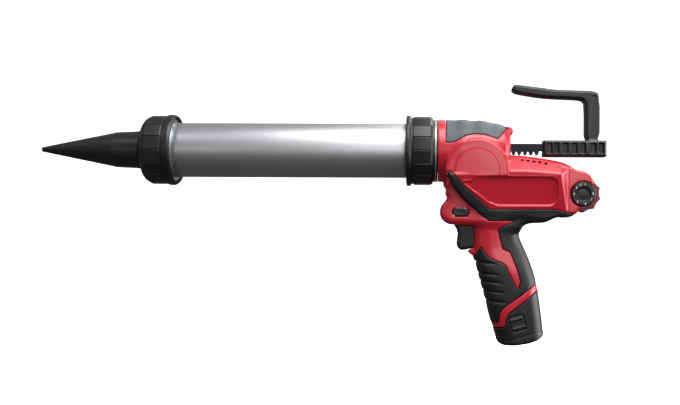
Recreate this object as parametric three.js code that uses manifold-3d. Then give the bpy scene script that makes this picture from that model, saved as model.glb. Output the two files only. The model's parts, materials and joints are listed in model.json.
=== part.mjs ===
// A cordless caulking gun for foil packs, as an assembly of its separate pieces.
// Millimetres, +Z up, +X to the rear. Every piece is written about the barrel's axis, which is
// Y = 0, Z = 0, with X = 0 on the front face of the housing. The last line of the file moves the
// whole tool so that its origin is the middle of the grip, where a hand holds it.
import * as THREE from "three";
import { mergeVertices } from "three/addons/utils/BufferGeometryUtils.js";
import Module from "manifold-3d";

const wasm = await Module();
wasm.setup();

// ---------------------------------------------------------------- driving dimensions
// Clearances.
const SLIP = 0.3; // between pieces that touch, slide or turn on each other
const THREAD_GAP = 0.4; // between a plain cylinder that stands for a thread and its nut
const SEAM = 0.15; // each half of the housing stops this far from the middle plane

// Barrel, collars and nozzle.
const TUBE_R = 27;
const TUBE_WALL = 1.8;
const TUBE_LENGTH = 280;
const THREAD_RING = 4.2; // thickness of the threaded rings on the tube's ends
const FRONT_RING_LENGTH = 23;
const REAR_RING_LENGTH = 4.2;
const COLLAR_WALL = 2.6;
const COLLAR_FLATS = 16;
const COLLAR_LIP = 1; // how far a collar's rim stands out from its flats
const FRONT_COLLAR_LENGTH = 31.9;
const REAR_COLLAR_LENGTH = 26.5;
const COLLAR_FACE = 1.6; // thickness of the front collar's end wall
const NOZZLE_LENGTH = 103.6; // from the collar's face to the tip
const NOZZLE_MOUTH_R = 18.7;
const NOZZLE_SHOULDER = 29.6; // length of the nearly straight part behind the cone
const NOZZLE_TIP_R = 2.4;
const NOZZLE_TIP_BORE = 1.4;
const NOZZLE_WALL = 1.7;
const NOZZLE_FLANGE = 3.7;

// Swivelling adapter between the barrel and the housing.
const FLANGE_LENGTH = 4.6;
const SOCKET_LENGTH = 17;
const SPIGOT_R = 22;
const SPIGOT_LENGTH = 8.4;
const ADAPTER_BORE = 16;
const CLIP_WIDTH = 2;
const TRIM_LENGTH = 1.5;

// Piston, rack and pull handle.
const PISTON_LENGTH = 25;
const STROKE_LEFT = 15.9; // how far the piston still stands behind the tube's front end
const PISTON_HUB = 18; // from the piston's front face to the back of its hub
const RACK_PITCH = 5.75;
const RACK_TOP = 7.4;
const RACK_VALLEY = 0.3;
const RACK_TIP = -3.9;
const RACK_HALF = 5.5; // half of the rack's width
const RACK_BARE_FRONT = 73; // length behind the piston's face that has no teeth
const RACK_INTO_BLOCK = 45.5; // how far the rack reaches into the handle's block
const BLOCK_X = [104, 168];
const BLOCK_Z = [-5.5, 11.4];
const BLOCK_HALF = 12;
const HOOK_HALF = 9.5;

// Gear train.
const PINION_X = 38;
const PINION_TEETH = 20;
const PINION_HALF = 5;
const SPUR_TEETH = 44;
const LAY_TEETH = 12;
const GEAR_MODULE = 1;
const LAY_DROP = 14; // how far the layshaft lies under the drive shaft
const CROWN_TEETH = 24;
const OUTPUT_TEETH = 14;
const SPUR_Y = [8, 14];
const DRIVE_SHAFT_R = 5;
const LAY_SHAFT_R = 3;

// Housing.
const WALL = 2.5;
const PAD = 0.9; // thickness of the soft overmoulding
const BODY_HALF = 22;
const MOTOR_HALF = 25;
const BOSS_R = 31;
const BOSS_FACE_R = 24.5;
const BOSS_HALF = 33;
const GRIP_WALL = 2;
const DIAL_HALF = 16;

// Speed dial.
const DIAL = [143, -42.6];
const DIAL_R = 18;
const DIAL_WHEEL_HALF = 11;
const DIAL_FACE_R = 12.4;
const DIAL_SCALLOPS = 8;
const DIAL_DIP = 1.3; // depth of each scallop

// Motor and gearbox, behind the output pinion.
const MOTOR_R = 17.5;
const MOTOR_LENGTH = 30.6;
const GEARBOX_R = 16.5;
const GEARBOX_LENGTH = 11;
const GEARBOX_GAP = 1.95; // from the output pinion to the gearbox
const OUTPUT_SHAFT_R = 3;

// Trigger, switch and lock button.
const TRIGGER_HALF = 9;
const TRIGGER_TRAVEL = 6;
const TRIGGER_REAR = 40.5;
const SWITCH_Z = -87; // height of the plunger
const BUTTON = [22.3, -60.8];
const BUTTON_SIZE = [16, 8];
const BUTTON_STAND = 0.5; // how far the button stands out of each side

// Battery, which slides into the grip along its slope.
const GRIP_LEAN = THREE.MathUtils.degToRad(15.5);
const GRIP_CENTRE = [73.2, -143.2];
const STEM_TOP = 24.5; // how far above the grip's centre the part inside the grip reaches
const STEM_GAP = 0.4; // between that part and the grip's wall
const FOOT_STAND = 0.4; // how far the battery's foot stands out of each side of the grip
const CELL_R = 9.05;
const CELL_LENGTH = 65;
const CELL_WALL = 1.2;
const CELL_SPACE = 0.38; // between two cells
const LATCH_TRAVEL = 1.5;
const LATCH_THICK = 1.7;

// Fastenings and faceting.
const SCREW_R = 1.5;
const SCREW_HEAD_R = 3.2;
const SCREW_BOSS_R = 4.2;
const ROUND = 28; // sides of a large round piece
const MIDDLE_ROUND = 18; // sides of a bush, a cell or a dial face
const SMALL_ROUND = 12; // sides of a shaft or a screw

// ---------------------------------------------------------------- sizes that follow
const TUBE_BORE = TUBE_R - TUBE_WALL;
const COLLAR_BORE = TUBE_R + THREAD_RING + THREAD_GAP;
const THREAD_R = COLLAR_BORE - THREAD_GAP;
const COLLAR_R = COLLAR_BORE + COLLAR_WALL;
const NOSE_R = THREAD_R - 0.2; // the housing's nose and the adapter's flange are flush
const FLANGE_X = [-SLIP - 0.1 - FLANGE_LENGTH, -SLIP - 0.1];
const TUBE_REAR = FLANGE_X[0] - 1;
const TUBE_FRONT = TUBE_REAR - TUBE_LENGTH;
const NOZZLE_BASE = TUBE_FRONT - SLIP;
const COLLAR_FRONT = NOZZLE_BASE - NOZZLE_FLANGE - SLIP - COLLAR_FACE;
const NOZZLE_TIP = COLLAR_FRONT - NOZZLE_LENGTH;
const PISTON_X = TUBE_FRONT + STROKE_LEFT;
const RACK_TEETH_FRONT = PISTON_X + RACK_BARE_FRONT;
const RACK_TEETH_REAR = BLOCK_X[0];
const RACK_REAR = BLOCK_X[0] + RACK_INTO_BLOCK;

const PINION_R = (PINION_TEETH * RACK_PITCH) / (2 * Math.PI);
const PITCH_Z = (RACK_VALLEY + RACK_TIP) / 2 + 0.1;
const DRIVE = [PINION_X, PITCH_Z - PINION_R];
const LAY_DISTANCE = ((SPUR_TEETH + LAY_TEETH) * GEAR_MODULE) / 2;
const LAY = [DRIVE[0] + Math.sqrt(LAY_DISTANCE ** 2 - LAY_DROP ** 2), DRIVE[1] - LAY_DROP];
const MOTOR_Z = LAY[1];
const CROWN_R = (CROWN_TEETH * GEAR_MODULE) / 2;
const OUTPUT_R = (OUTPUT_TEETH * GEAR_MODULE) / 2;
const OUTPUT_X = [LAY[0] + CROWN_R - 3.2, LAY[0] + CROWN_R + 2.8];
const GEARBOX_X = [OUTPUT_X[1] + GEARBOX_GAP, OUTPUT_X[1] + GEARBOX_GAP + GEARBOX_LENGTH];
const MOTOR_X = [GEARBOX_X[1] + THREAD_GAP, GEARBOX_X[1] + THREAD_GAP + MOTOR_LENGTH];

const CELL_SIDE = CELL_R + CELL_SPACE / 2; // two cells stand this far either side of the middle
const CELL_ACROSS = Math.sqrt((2 * CELL_R + CELL_SPACE) ** 2 - CELL_SIDE ** 2) / 2;
const STEM_HALF = CELL_SIDE + CELL_R + SLIP + CELL_WALL; // half width of the part in the grip
const STEM_DEPTH = CELL_ACROSS + CELL_R + SLIP + CELL_WALL; // half of its depth, front to back
const STEM_END = -STEM_TOP + 2.5 + CELL_LENGTH + 1;
const GRIP_HALF = STEM_HALF + STEM_GAP + GRIP_WALL;
const FOOT_HALF = GRIP_HALF + FOOT_STAND;

const SWITCH_FRONT = TRIGGER_REAR + TRIGGER_TRAVEL + 1.5;
const DOWN = [Math.sin(GRIP_LEAN), -Math.cos(GRIP_LEAN)]; // the way the battery leaves
const BACK = [Math.cos(GRIP_LEAN), Math.sin(GRIP_LEAN)]; // across the grip, to the rear

// ---------------------------------------------------------------- solids
const X = new THREE.Vector3(1, 0, 0);
const Y = new THREE.Vector3(0, 1, 0);
const Z = new THREE.Vector3(0, 0, 1);
const TO_SIDE = new THREE.Matrix4().makeBasis(X, Z, Y.clone().negate());
const TO_REAR = new THREE.Matrix4().makeBasis(Y, Z, X);

// A closed three.js geometry as a solid that can be joined and cut.
function solid(geometry) {
  const bare = geometry.index ? geometry.toNonIndexed() : geometry.clone();
  bare.deleteAttribute("normal");
  bare.deleteAttribute("uv");
  const merged = mergeVertices(bare, 1e-4);
  const triangles = [];
  const index = merged.index.array;
  for (let i = 0; i < index.length; i += 3) {
    const [a, b, c] = [index[i], index[i + 1], index[i + 2]];
    if (a !== b && b !== c && c !== a) triangles.push(a, b, c);
  }
  const made = (list) =>
    new wasm.Manifold(
      new wasm.Mesh({
        numProp: 3,
        vertProperties: new Float32Array(merged.attributes.position.array),
        triVerts: new Uint32Array(list),
      }),
    );
  const first = made(triangles);
  return first.volume() > 0 ? first : made(triangles.reverse());
}

const union = (...parts) => parts.flat().reduce((sum, part) => sum.add(part));
const points = (list) => list.map(([u, v]) => new THREE.Vector2(u, v));
const mirrored = (part) => part.mirror([0, 1, 0]);

// A profile of [x, radius] points turned about the barrel's axis, or about a line beside it.
function turned(profile, sides = ROUND, [y, z] = [0, 0]) {
  const lathe = new THREE.LatheGeometry(points(profile.map(([x, r]) => [r, x])), sides);
  lathe.rotateZ(-Math.PI / 2);
  return solid(lathe.translate(0, y, z));
}

// The same, turned about a line along Y through [x, z], with [y, radius] points.
function turnedAcross(profile, [x, z], sides = ROUND) {
  const lathe = new THREE.LatheGeometry(points(profile.map(([y, r]) => [r, y])), sides);
  return solid(lathe.translate(x, 0, z));
}

const rod = ([x0, x1], r, at = [0, 0], sides = SMALL_ROUND) =>
  turned([[x0, 0], [x0, r], [x1, r], [x1, 0]], sides, at);
const pin = ([y0, y1], r, at, sides = SMALL_ROUND) =>
  turnedAcross([[y0, 0], [y0, r], [y1, r], [y1, 0]], at, sides);
const ring = ([x0, x1], inner, outer, sides = ROUND) =>
  turned([[x0, inner], [x0, outer], [x1, outer], [x1, inner], [x0, inner]], sides);

// A side outline of [x, z] points, made into a pod of the given half width with rounded edges.
// inset shrinks it all round, for the hollow inside a wall.
function pod(outline, half, edge, inset = 0, steps = 2) {
  const depth = 2 * (half - inset - edge);
  const geometry = new THREE.ExtrudeGeometry(new THREE.Shape(points(outline)), {
    depth,
    bevelEnabled: true,
    bevelThickness: edge,
    bevelSize: edge,
    bevelOffset: -edge - inset,
    bevelSegments: steps,
  });
  geometry.translate(0, 0, -depth / 2);
  return solid(geometry.applyMatrix4(TO_SIDE));
}

// A plain plate with the same kind of outline, from y0 to y1, grown all round.
function plate(outline, [y0, y1], grow = 0) {
  const geometry = new THREE.ExtrudeGeometry(new THREE.Shape(points(outline)), {
    depth: y1 - y0,
    bevelEnabled: grow > 0,
    bevelThickness: 0.01,
    bevelSize: grow,
    bevelSegments: 1,
  });
  geometry.applyMatrix4(TO_SIDE);
  return solid(geometry.translate(0, y1, 0));
}

// An outline of [y, z] points pushed along X.
function bar(outline, [x0, x1]) {
  const geometry = new THREE.ExtrudeGeometry(new THREE.Shape(points(outline)), {
    depth: x1 - x0,
    bevelEnabled: false,
  });
  geometry.applyMatrix4(TO_REAR);
  return solid(geometry.translate(x0, 0, 0));
}

function box([x0, x1], [y0, y1], [z0, z1]) {
  const geometry = new THREE.BoxGeometry(x1 - x0, y1 - y0, z1 - z0);
  return solid(geometry.translate((x0 + x1) / 2, (y0 + y1) / 2, (z0 + z1) / 2));
}

// A point of the grip's own frame: along its slope, and across it to the rear.
const gripPoint = (along, across) => [
  GRIP_CENTRE[0] + along * DOWN[0] + across * BACK[0],
  GRIP_CENTRE[1] + along * DOWN[1] + across * BACK[1],
];
const gripBox = ([a0, a1], [c0, c1]) => [
  gripPoint(a0, c0),
  gripPoint(a1, c0),
  gripPoint(a1, c1),
  gripPoint(a0, c1),
];

// A point on the grip's front (side -1) or rear (side 1), a given thickness outside the battery.
const gripEdge = (along, side, thickness) => gripPoint(along, side * (STEM_DEPTH + thickness));

// A gear's outline with involute flanks. The first tooth points along the given phase.
function gearOutline({ teeth, module, pressure, addendum, dedendum, backlash, phase, steps }) {
  const pitchR = (teeth * module) / 2;
  const baseR = pitchR * Math.cos(pressure);
  const involute = (angle) => Math.tan(angle) - angle;
  const halfTooth = Math.PI / (2 * teeth) - backlash / (2 * pitchR) + involute(pressure);
  const halfAt = (r) => halfTooth - (r > baseR ? involute(Math.acos(baseR / r)) : 0);
  const rootR = pitchR - dedendum;
  const outerR = pitchR + addendum;
  const flankR = Math.max(rootR + 0.05, baseR);
  const radii = steps ? [rootR, flankR] : [rootR];
  for (let i = 1; i < steps; i++) radii.push(flankR + ((outerR - flankR) * i) / steps);
  radii.push(outerR);
  const outline = [];
  for (let tooth = 0; tooth < teeth; tooth++) {
    const centre = phase + (2 * Math.PI * tooth) / teeth;
    const at = (r, side) => {
      const angle = centre + side * halfAt(r);
      outline.push([r * Math.cos(angle), r * Math.sin(angle)]);
    };
    radii.forEach((r) => at(r, -1));
    [...radii].reverse().forEach((r) => at(r, 1));
  }
  return outline;
}

const moved = (outline, [u, v]) => outline.map(([a, b]) => [a + u, b + v]);

// ---------------------------------------------------------------- the assembly
const tool = new THREE.Group();

const FINISH = {
  red: { color: 0xc01a28, roughness: 0.3, metalness: 0 },
  darkRed: { color: 0x8c1824, roughness: 0.4, metalness: 0 },
  black: { color: 0x1b1d1f, roughness: 0.5, metalness: 0 },
  soft: { color: 0x23282a, roughness: 0.8, metalness: 0 },
  grey: { color: 0x5e676b, roughness: 0.7, metalness: 0 },
  aluminium: { color: 0xb4b6b8, roughness: 0.35, metalness: 1 },
  steel: { color: 0x8d9094, roughness: 0.4, metalness: 1 },
  darkSteel: { color: 0x26282a, roughness: 0.45, metalness: 1 },
  bronze: { color: 0x9a7a45, roughness: 0.5, metalness: 1 },
  board: { color: 0x1d5a35, roughness: 0.6, metalness: 0 },
  cell: { color: 0x2f6da8, roughness: 0.4, metalness: 0 },
};

function piece(name, part, finish) {
  const raw = part.getMesh();
  const geometry = new THREE.BufferGeometry();
  const corners = new Float32Array(raw.numVert * 3);
  for (let i = 0; i < raw.numVert; i++) {
    corners.set(raw.vertProperties.subarray(i * raw.numProp, i * raw.numProp + 3), i * 3);
  }
  geometry.setAttribute("position", new THREE.BufferAttribute(corners, 3));
  geometry.setIndex(new THREE.BufferAttribute(new Uint32Array(raw.triVerts), 1));
  geometry.computeVertexNormals();
  const material = new THREE.MeshStandardMaterial({ ...FINISH[finish], flatShading: true });
  const mesh = new THREE.Mesh(geometry, material);
  mesh.name = name;
  tool.add(mesh);
}

// ---- barrel
function addBarrel() {
  piece("barrel_tube", ring([TUBE_FRONT, TUBE_REAR], TUBE_BORE, TUBE_R), "aluminium");
  const frontRing = [TUBE_FRONT + 1, TUBE_FRONT + 1 + FRONT_RING_LENGTH];
  piece("front_thread_ring", ring(frontRing, TUBE_R + SLIP, THREAD_R), "black");
  const socketFront = FLANGE_X[0] - SOCKET_LENGTH;
  const rearRing = [socketFront - SLIP - REAR_RING_LENGTH, socketFront - SLIP];
  piece("rear_flange_ring", ring(rearRing, TUBE_R + SLIP, THREAD_R), "black");
}

function addNozzle() {
  const shoulder = COLLAR_FRONT - NOZZLE_SHOULDER;
  const flange = [NOZZLE_BASE - NOZZLE_FLANGE, NOZZLE_BASE];
  const outside = [
    [NOZZLE_TIP, NOZZLE_TIP_R],
    [shoulder, NOZZLE_MOUTH_R - 1.4],
    [flange[0], NOZZLE_MOUTH_R],
    [flange[0], TUBE_R - SLIP],
    [flange[1], TUBE_R - SLIP],
  ];
  const inside = [
    [flange[1], NOZZLE_MOUTH_R - NOZZLE_WALL],
    [shoulder, NOZZLE_MOUTH_R - 1.4 - NOZZLE_WALL],
    [NOZZLE_TIP, NOZZLE_TIP_BORE],
  ];
  piece("nozzle", turned([...outside, ...inside, outside[0]]), "black");
}

function addFrontCollar() {
  const rear = COLLAR_FRONT + FRONT_COLLAR_LENGTH;
  const rim = rear - 8.4;
  const outside = [
    [COLLAR_FRONT, 0],
    [COLLAR_FRONT, COLLAR_R - 6],
    [COLLAR_FRONT + 2.2, COLLAR_R - 2.2],
    [COLLAR_FRONT + 7, COLLAR_R],
    [rim, COLLAR_R],
    [rim, COLLAR_R + COLLAR_LIP],
    [rear - 1.5, COLLAR_R + COLLAR_LIP],
    [rear, COLLAR_R - 0.6],
    [rear, 0],
  ];
  const hole = rod([COLLAR_FRONT - 1, COLLAR_FRONT + 3], NOZZLE_MOUTH_R + THREAD_GAP, [0, 0], ROUND);
  const seat = rod([COLLAR_FRONT + COLLAR_FACE, rear + 1], TUBE_R + SLIP, [0, 0], ROUND);
  const bore = rod([TUBE_FRONT + 1 - SLIP, rear + 1], COLLAR_BORE, [0, 0], ROUND);
  const blank = turned(outside, COLLAR_FLATS);
  piece("front_collar", blank.subtract(hole).subtract(seat).subtract(bore), "black");
}

function addRearCollar() {
  const rear = FLANGE_X[0] - SLIP;
  const front = rear - REAR_COLLAR_LENGTH + SLIP;
  const lip = 4.5;
  const outside = [
    [front, 0],
    [front, COLLAR_R],
    [front + 1, COLLAR_R + COLLAR_LIP],
    [front + lip - 1, COLLAR_R + COLLAR_LIP],
    [front + lip, COLLAR_R - 1.2],
    [front + lip + 3, COLLAR_R - 1.2],
    [front + lip + 3.6, COLLAR_R],
    [rear - 2, COLLAR_R],
    [rear, COLLAR_R - 1.4],
    [rear, 0],
  ];
  const hole = rod([front - 1, front + lip + 1], TUBE_R + THREAD_GAP, [0, 0], ROUND);
  const ringFront = FLANGE_X[0] - SOCKET_LENGTH - SLIP - REAR_RING_LENGTH;
  const bore = rod([ringFront - SLIP, rear + 1], COLLAR_BORE, [0, 0], ROUND);
  const blank = turned(outside, COLLAR_FLATS);
  piece("rear_collar", blank.subtract(hole).subtract(bore), "black");
}

function addAdapter() {
  const groove = [FLANGE_X[0] + 1.8, FLANGE_X[0] + 1.8 + TRIM_LENGTH];
  const clip = [WALL + 1 + SLIP, WALL + 1 + SLIP + CLIP_WIDTH];
  const outside = [
    [FLANGE_X[0] - SOCKET_LENGTH, THREAD_R],
    [FLANGE_X[0], THREAD_R],
    [FLANGE_X[0], NOSE_R],
    [groove[0], NOSE_R],
    [groove[0], NOSE_R - 2],
    [groove[1], NOSE_R - 2],
    [groove[1], NOSE_R],
    [FLANGE_X[1], NOSE_R],
    [FLANGE_X[1], SPIGOT_R],
    [clip[0] - SLIP, SPIGOT_R],
    [clip[0] - SLIP, SPIGOT_R - 2],
    [clip[1] + SLIP, SPIGOT_R - 2],
    [clip[1] + SLIP, SPIGOT_R],
    [SPIGOT_LENGTH, SPIGOT_R],
  ];
  const inside = [
    [SPIGOT_LENGTH, ADAPTER_BORE],
    [FLANGE_X[0] - SLIP, ADAPTER_BORE],
    [FLANGE_X[0] - SLIP, TUBE_R + THREAD_GAP],
    [FLANGE_X[0] - SOCKET_LENGTH, TUBE_R + THREAD_GAP],
  ];
  piece("nose_adapter", turned([...outside, ...inside, outside[0]]), "black");
  const trim = [groove[0] + 0.1, groove[1] - 0.1];
  piece("adapter_trim_ring", ring(trim, NOSE_R - 2 + SLIP, NOSE_R + 0.2), "aluminium");
  piece("swivel_clip", ring(clip, SPIGOT_R - 2 + SLIP, SPIGOT_R + 4), "steel");
}

// ---- plunger
function addPiston() {
  const edge = TUBE_BORE - SLIP;
  const groove = [PISTON_X + 4, PISTON_X + 8];
  const web = PISTON_X + 10;
  const rear = PISTON_X + PISTON_LENGTH;
  const hubRear = PISTON_X + PISTON_HUB;
  const profile = [
    [PISTON_X, 0],
    [PISTON_X, edge - 2],
    [PISTON_X + 2, edge],
    [groove[0], edge],
    [groove[0], edge - 2.6],
    [groove[1], edge - 2.6],
    [groove[1], edge],
    [rear, edge],
    [rear, edge - 3],
    [web, edge - 3],
    [web, 10],
    [hubRear, 10],
    [hubRear, 0],
  ];
  const headPocket = rod([PISTON_X - 1, PISTON_X + 3], SCREW_HEAD_R * 1.6 + SLIP);
  const hole = rod([PISTON_X, hubRear + 1], 2.7);
  piece("piston", turned(profile).subtract(headPocket).subtract(hole), "black");
  const seal = [groove[0] + 0.2, groove[1] - 0.2];
  piece("piston_seal", ring(seal, edge - 2.6 + SLIP, edge + 0.05), "soft");
  const head = rod([PISTON_X + 0.4, PISTON_X + 2.7], SCREW_HEAD_R * 1.6);
  piece("piston_screw", head.add(rod([PISTON_X + 2, hubRear + 12], 2.4)), "steel");
}

function addRack() {
  const front = PISTON_X + PISTON_HUB + 0.5;
  const pinionGap = PINION_X; // a valley stands over the pinion's axis
  const slope = Math.tan(THREE.MathUtils.degToRad(20));
  const halfAtPitch = RACK_PITCH / 4 - 0.12;
  const halfTip = halfAtPitch - slope * (PITCH_Z - RACK_TIP);
  const halfRoot = halfAtPitch + slope * (RACK_VALLEY - PITCH_Z);
  const firstTooth = Math.ceil((RACK_TEETH_FRONT - pinionGap) / RACK_PITCH);
  const lastTooth = Math.floor((RACK_TEETH_REAR - pinionGap) / RACK_PITCH) - 1;
  const outline = [[front, RACK_TOP], [front, RACK_TIP]];
  const bareFront = pinionGap + firstTooth * RACK_PITCH;
  outline.push([bareFront - 1, RACK_TIP], [bareFront, RACK_VALLEY]);
  for (let tooth = firstTooth; tooth <= lastTooth; tooth++) {
    const centre = pinionGap + (tooth + 0.5) * RACK_PITCH;
    outline.push([centre - halfRoot, RACK_VALLEY], [centre - halfTip, RACK_TIP]);
    outline.push([centre + halfTip, RACK_TIP], [centre + halfRoot, RACK_VALLEY]);
  }
  outline.push([RACK_REAR, RACK_VALLEY], [RACK_REAR, RACK_TOP]);
  let rack = plate(outline, [-RACK_HALF, RACK_HALF]);
  rack = rack.subtract(rod([front - 1, front + 14], 2.7));
  for (const x of handleScrewX) rack = rack.subtract(handleScrewHole(x, 2.1, RACK_TOP + 1));
  piece("rack", rack, "darkSteel");
}

const handleScrewX = [BLOCK_X[0] + 10, BLOCK_X[0] + 34];

function handleScrewHole(x, r, top) {
  const hole = new THREE.CylinderGeometry(r, r, top - BLOCK_Z[0] + 2, SMALL_ROUND);
  hole.rotateX(Math.PI / 2);
  return solid(hole.translate(x, 0, (top + BLOCK_Z[0] - 2) / 2));
}

function addPullHandle() {
  const [x0, x1] = BLOCK_X;
  const [z0, z1] = BLOCK_Z;
  const hook = [
    [144, z1 - 4],
    [160.5, z1 - 4],
    [160.5, 57],
    [154.5, 60],
    [126, 60.9],
    [102, 63.2],
    [78, 66.2],
    [73.6, 64.4],
    [72.8, 61],
    [74.2, 58.2],
    [78, 57.2],
    [102, 53.4],
    [126, 52.1],
    [138, 51.5],
    [142.5, 50.2],
    [144, 47],
  ];
  let handle = box([x0, x1], [-BLOCK_HALF, BLOCK_HALF], [z0, z1]);
  handle = handle.add(pod(hook, HOOK_HALF, 1.5));
  const pocketX = [107.5, 114, 122.8, 131.8, 140.4, 150.6, 158.4];
  for (const x of pocketX) {
    const pocket = box([x, x + 5.2], [BLOCK_HALF - 4, BLOCK_HALF + 1], [z0 + 3, z1 - 3]);
    handle = handle.subtract(pocket).subtract(mirrored(pocket));
  }
  const slotHalf = RACK_HALF + SLIP;
  const slotZ = [RACK_VALLEY - SLIP, RACK_TOP + SLIP];
  handle = handle.subtract(box([x0 - 1, RACK_REAR + SLIP], [-slotHalf, slotHalf], slotZ));
  const names = ["handle_screw_front", "handle_screw_rear"];
  handleScrewX.forEach((x, i) => {
    const head = new THREE.CylinderGeometry(3.4, 3.4, 2.2, SMALL_ROUND).rotateX(Math.PI / 2);
    const seat = new THREE.CylinderGeometry(3.7, 3.7, 4, SMALL_ROUND).rotateX(Math.PI / 2);
    const shank = new THREE.CylinderGeometry(1.85, 1.85, 9, SMALL_ROUND).rotateX(Math.PI / 2);
    handle = handle.subtract(handleScrewHole(x, 2.1, RACK_VALLEY));
    handle = handle.subtract(solid(seat.translate(x, 0, z0 + 0.7)));
    const screw = solid(head.translate(x, 0, z0 + 1.3));
    piece(names[i], screw.add(solid(shank.translate(x, 0, z0 + 6.5))), "steel");
  });
  piece("pull_handle", handle, "black");
}

// ---- gear train
function addDriveShaft() {
  const seat = DRIVE_SHAFT_R + 0.2;
  piece("drive_shaft", pin([-BOSS_HALF + 3.4, BOSS_HALF - 3.4], DRIVE_SHAFT_R, DRIVE), "steel");
  const pinion = gearOutline({
    teeth: PINION_TEETH,
    module: RACK_PITCH / Math.PI,
    pressure: THREE.MathUtils.degToRad(20),
    addendum: 1.7,
    dedendum: 2.5,
    backlash: 0.24,
    phase: Math.PI / 2,
    steps: 1,
  });
  const wheel = gearOutline({
    teeth: SPUR_TEETH,
    module: GEAR_MODULE,
    pressure: THREE.MathUtils.degToRad(25),
    addendum: 0.9 * GEAR_MODULE,
    dedendum: 1.2 * GEAR_MODULE,
    backlash: 0.2,
    phase: Math.atan2(LAY[1] - DRIVE[1], LAY[0] - DRIVE[0]),
    steps: 0,
  });
  const bore = pin([-BOSS_HALF, BOSS_HALF], seat, DRIVE);
  const rackPinion = plate(moved(pinion, DRIVE), [-PINION_HALF, PINION_HALF]);
  piece("rack_pinion", rackPinion.subtract(bore), "steel");
  piece("spur_wheel", plate(moved(wheel, DRIVE), SPUR_Y).subtract(bore), "steel");
}

function addLayshaft() {
  piece("lay_shaft", pin([-19.6, 21.6], LAY_SHAFT_R, LAY), "steel");
  const bore = pin([-30, 30], LAY_SHAFT_R + 0.2, LAY);
  const towardsDrive = Math.atan2(DRIVE[1] - LAY[1], DRIVE[0] - LAY[0]);
  const pinion = gearOutline({
    teeth: LAY_TEETH,
    module: GEAR_MODULE,
    pressure: THREE.MathUtils.degToRad(25),
    addendum: 0.9 * GEAR_MODULE,
    dedendum: 1.2 * GEAR_MODULE,
    backlash: 0.2,
    phase: towardsDrive + Math.PI / LAY_TEETH,
    steps: 1,
  });
  const pinionY = [SPUR_Y[0] - 0.5, SPUR_Y[1] + 0.5];
  piece("lay_pinion", plate(moved(pinion, LAY), pinionY).subtract(bore), "steel");
  const face = -OUTPUT_R;
  let crown = pin([face - 4, face - 1.6], CROWN_R + 1.6, LAY, ROUND);
  const tooth = [
    [face - 1.9, -1.15],
    [face + 0.8, -0.2],
    [face + 0.8, 0.2],
    [face - 1.9, 1.15],
  ];
  for (let i = 0; i < CROWN_TEETH; i++) {
    const turn = ((i + 0.5) * 360) / CROWN_TEETH;
    const at = bar(tooth, [CROWN_R - 1.6, CROWN_R + 1.4]).rotate([0, turn, 0]);
    crown = crown.add(at.translate([LAY[0], 0, LAY[1]]));
  }
  piece("crown_wheel", crown.subtract(bore), "steel");
}

function addOutputPinion() {
  const outline = gearOutline({
    teeth: OUTPUT_TEETH,
    module: GEAR_MODULE,
    pressure: THREE.MathUtils.degToRad(25),
    addendum: 0.8 * GEAR_MODULE,
    dedendum: 1.2 * GEAR_MODULE,
    backlash: 0.3,
    phase: Math.PI,
    steps: 1,
  });
  const teeth = bar(moved(outline, [0, MOTOR_Z]), OUTPUT_X);
  const shaft = rod([OUTPUT_X[1] - 1, GEARBOX_X[0] + 6], OUTPUT_SHAFT_R, [0, MOTOR_Z]);
  piece("output_pinion", teeth.add(shaft), "steel");
}

function addBushes() {
  const bush = ([y0, y1], at, inner, outer) => {
    const profile = [[y0, inner], [y0, outer], [y1, outer], [y1, inner], [y0, inner]];
    return turnedAcross(profile, at, MIDDLE_ROUND);
  };
  const drive = bush([BOSS_HALF - 9, BOSS_HALF - 3.2], DRIVE, DRIVE_SHAFT_R + SLIP, DRIVE_BUSH_R);
  piece("drive_bush_right", drive, "bronze");
  piece("drive_bush_left", mirrored(drive), "bronze");
  piece("lay_bush_right", bush([16, 21.6], LAY, LAY_SHAFT_R + SLIP, LAY_BUSH_R), "bronze");
  piece("lay_bush_left", bush([-19.6, -14], LAY, LAY_SHAFT_R + SLIP, LAY_BUSH_R), "bronze");
}

const DRIVE_BUSH_R = DRIVE_SHAFT_R + 4;
const LAY_BUSH_R = LAY_SHAFT_R + 3;

// ---- motor, electrics and rack guide
function addMotor() {
  const gearbox = rod(GEARBOX_X, GEARBOX_R, [0, MOTOR_Z], ROUND);
  const bore = rod([GEARBOX_X[0] - 1, GEARBOX_X[0] + 6.6], OUTPUT_SHAFT_R + SLIP, [0, MOTOR_Z]);
  piece("gearbox_case", gearbox.subtract(bore), "darkSteel");
  piece("motor_case", rod(MOTOR_X, MOTOR_R, [0, MOTOR_Z], ROUND), "steel");
}

function addElectrics() {
  const switchX = [SWITCH_FRONT, SWITCH_FRONT + 22];
  const switchBox = box(switchX, [-9, 9], [SWITCH_Z - 10, SWITCH_Z + 10]);
  const bore = rod([SWITCH_FRONT - 1, SWITCH_FRONT + 12.5], 3.4, [0, SWITCH_Z]);
  piece("switch_body", switchBox.subtract(bore), "black");
  piece("control_board", box([96, 116], [-15, 15], [-58.6, -57]), "board");
  const block = plate(gripBox([-STEM_TOP - 8.5, -STEM_TOP - 2], [-11, 11]), [-8, 8]);
  piece("terminal_block", block, "black");
  piece("dial_sensor", box([118, 127], [-5, 5], [-61.5, -55.5]), "black");
}

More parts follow.
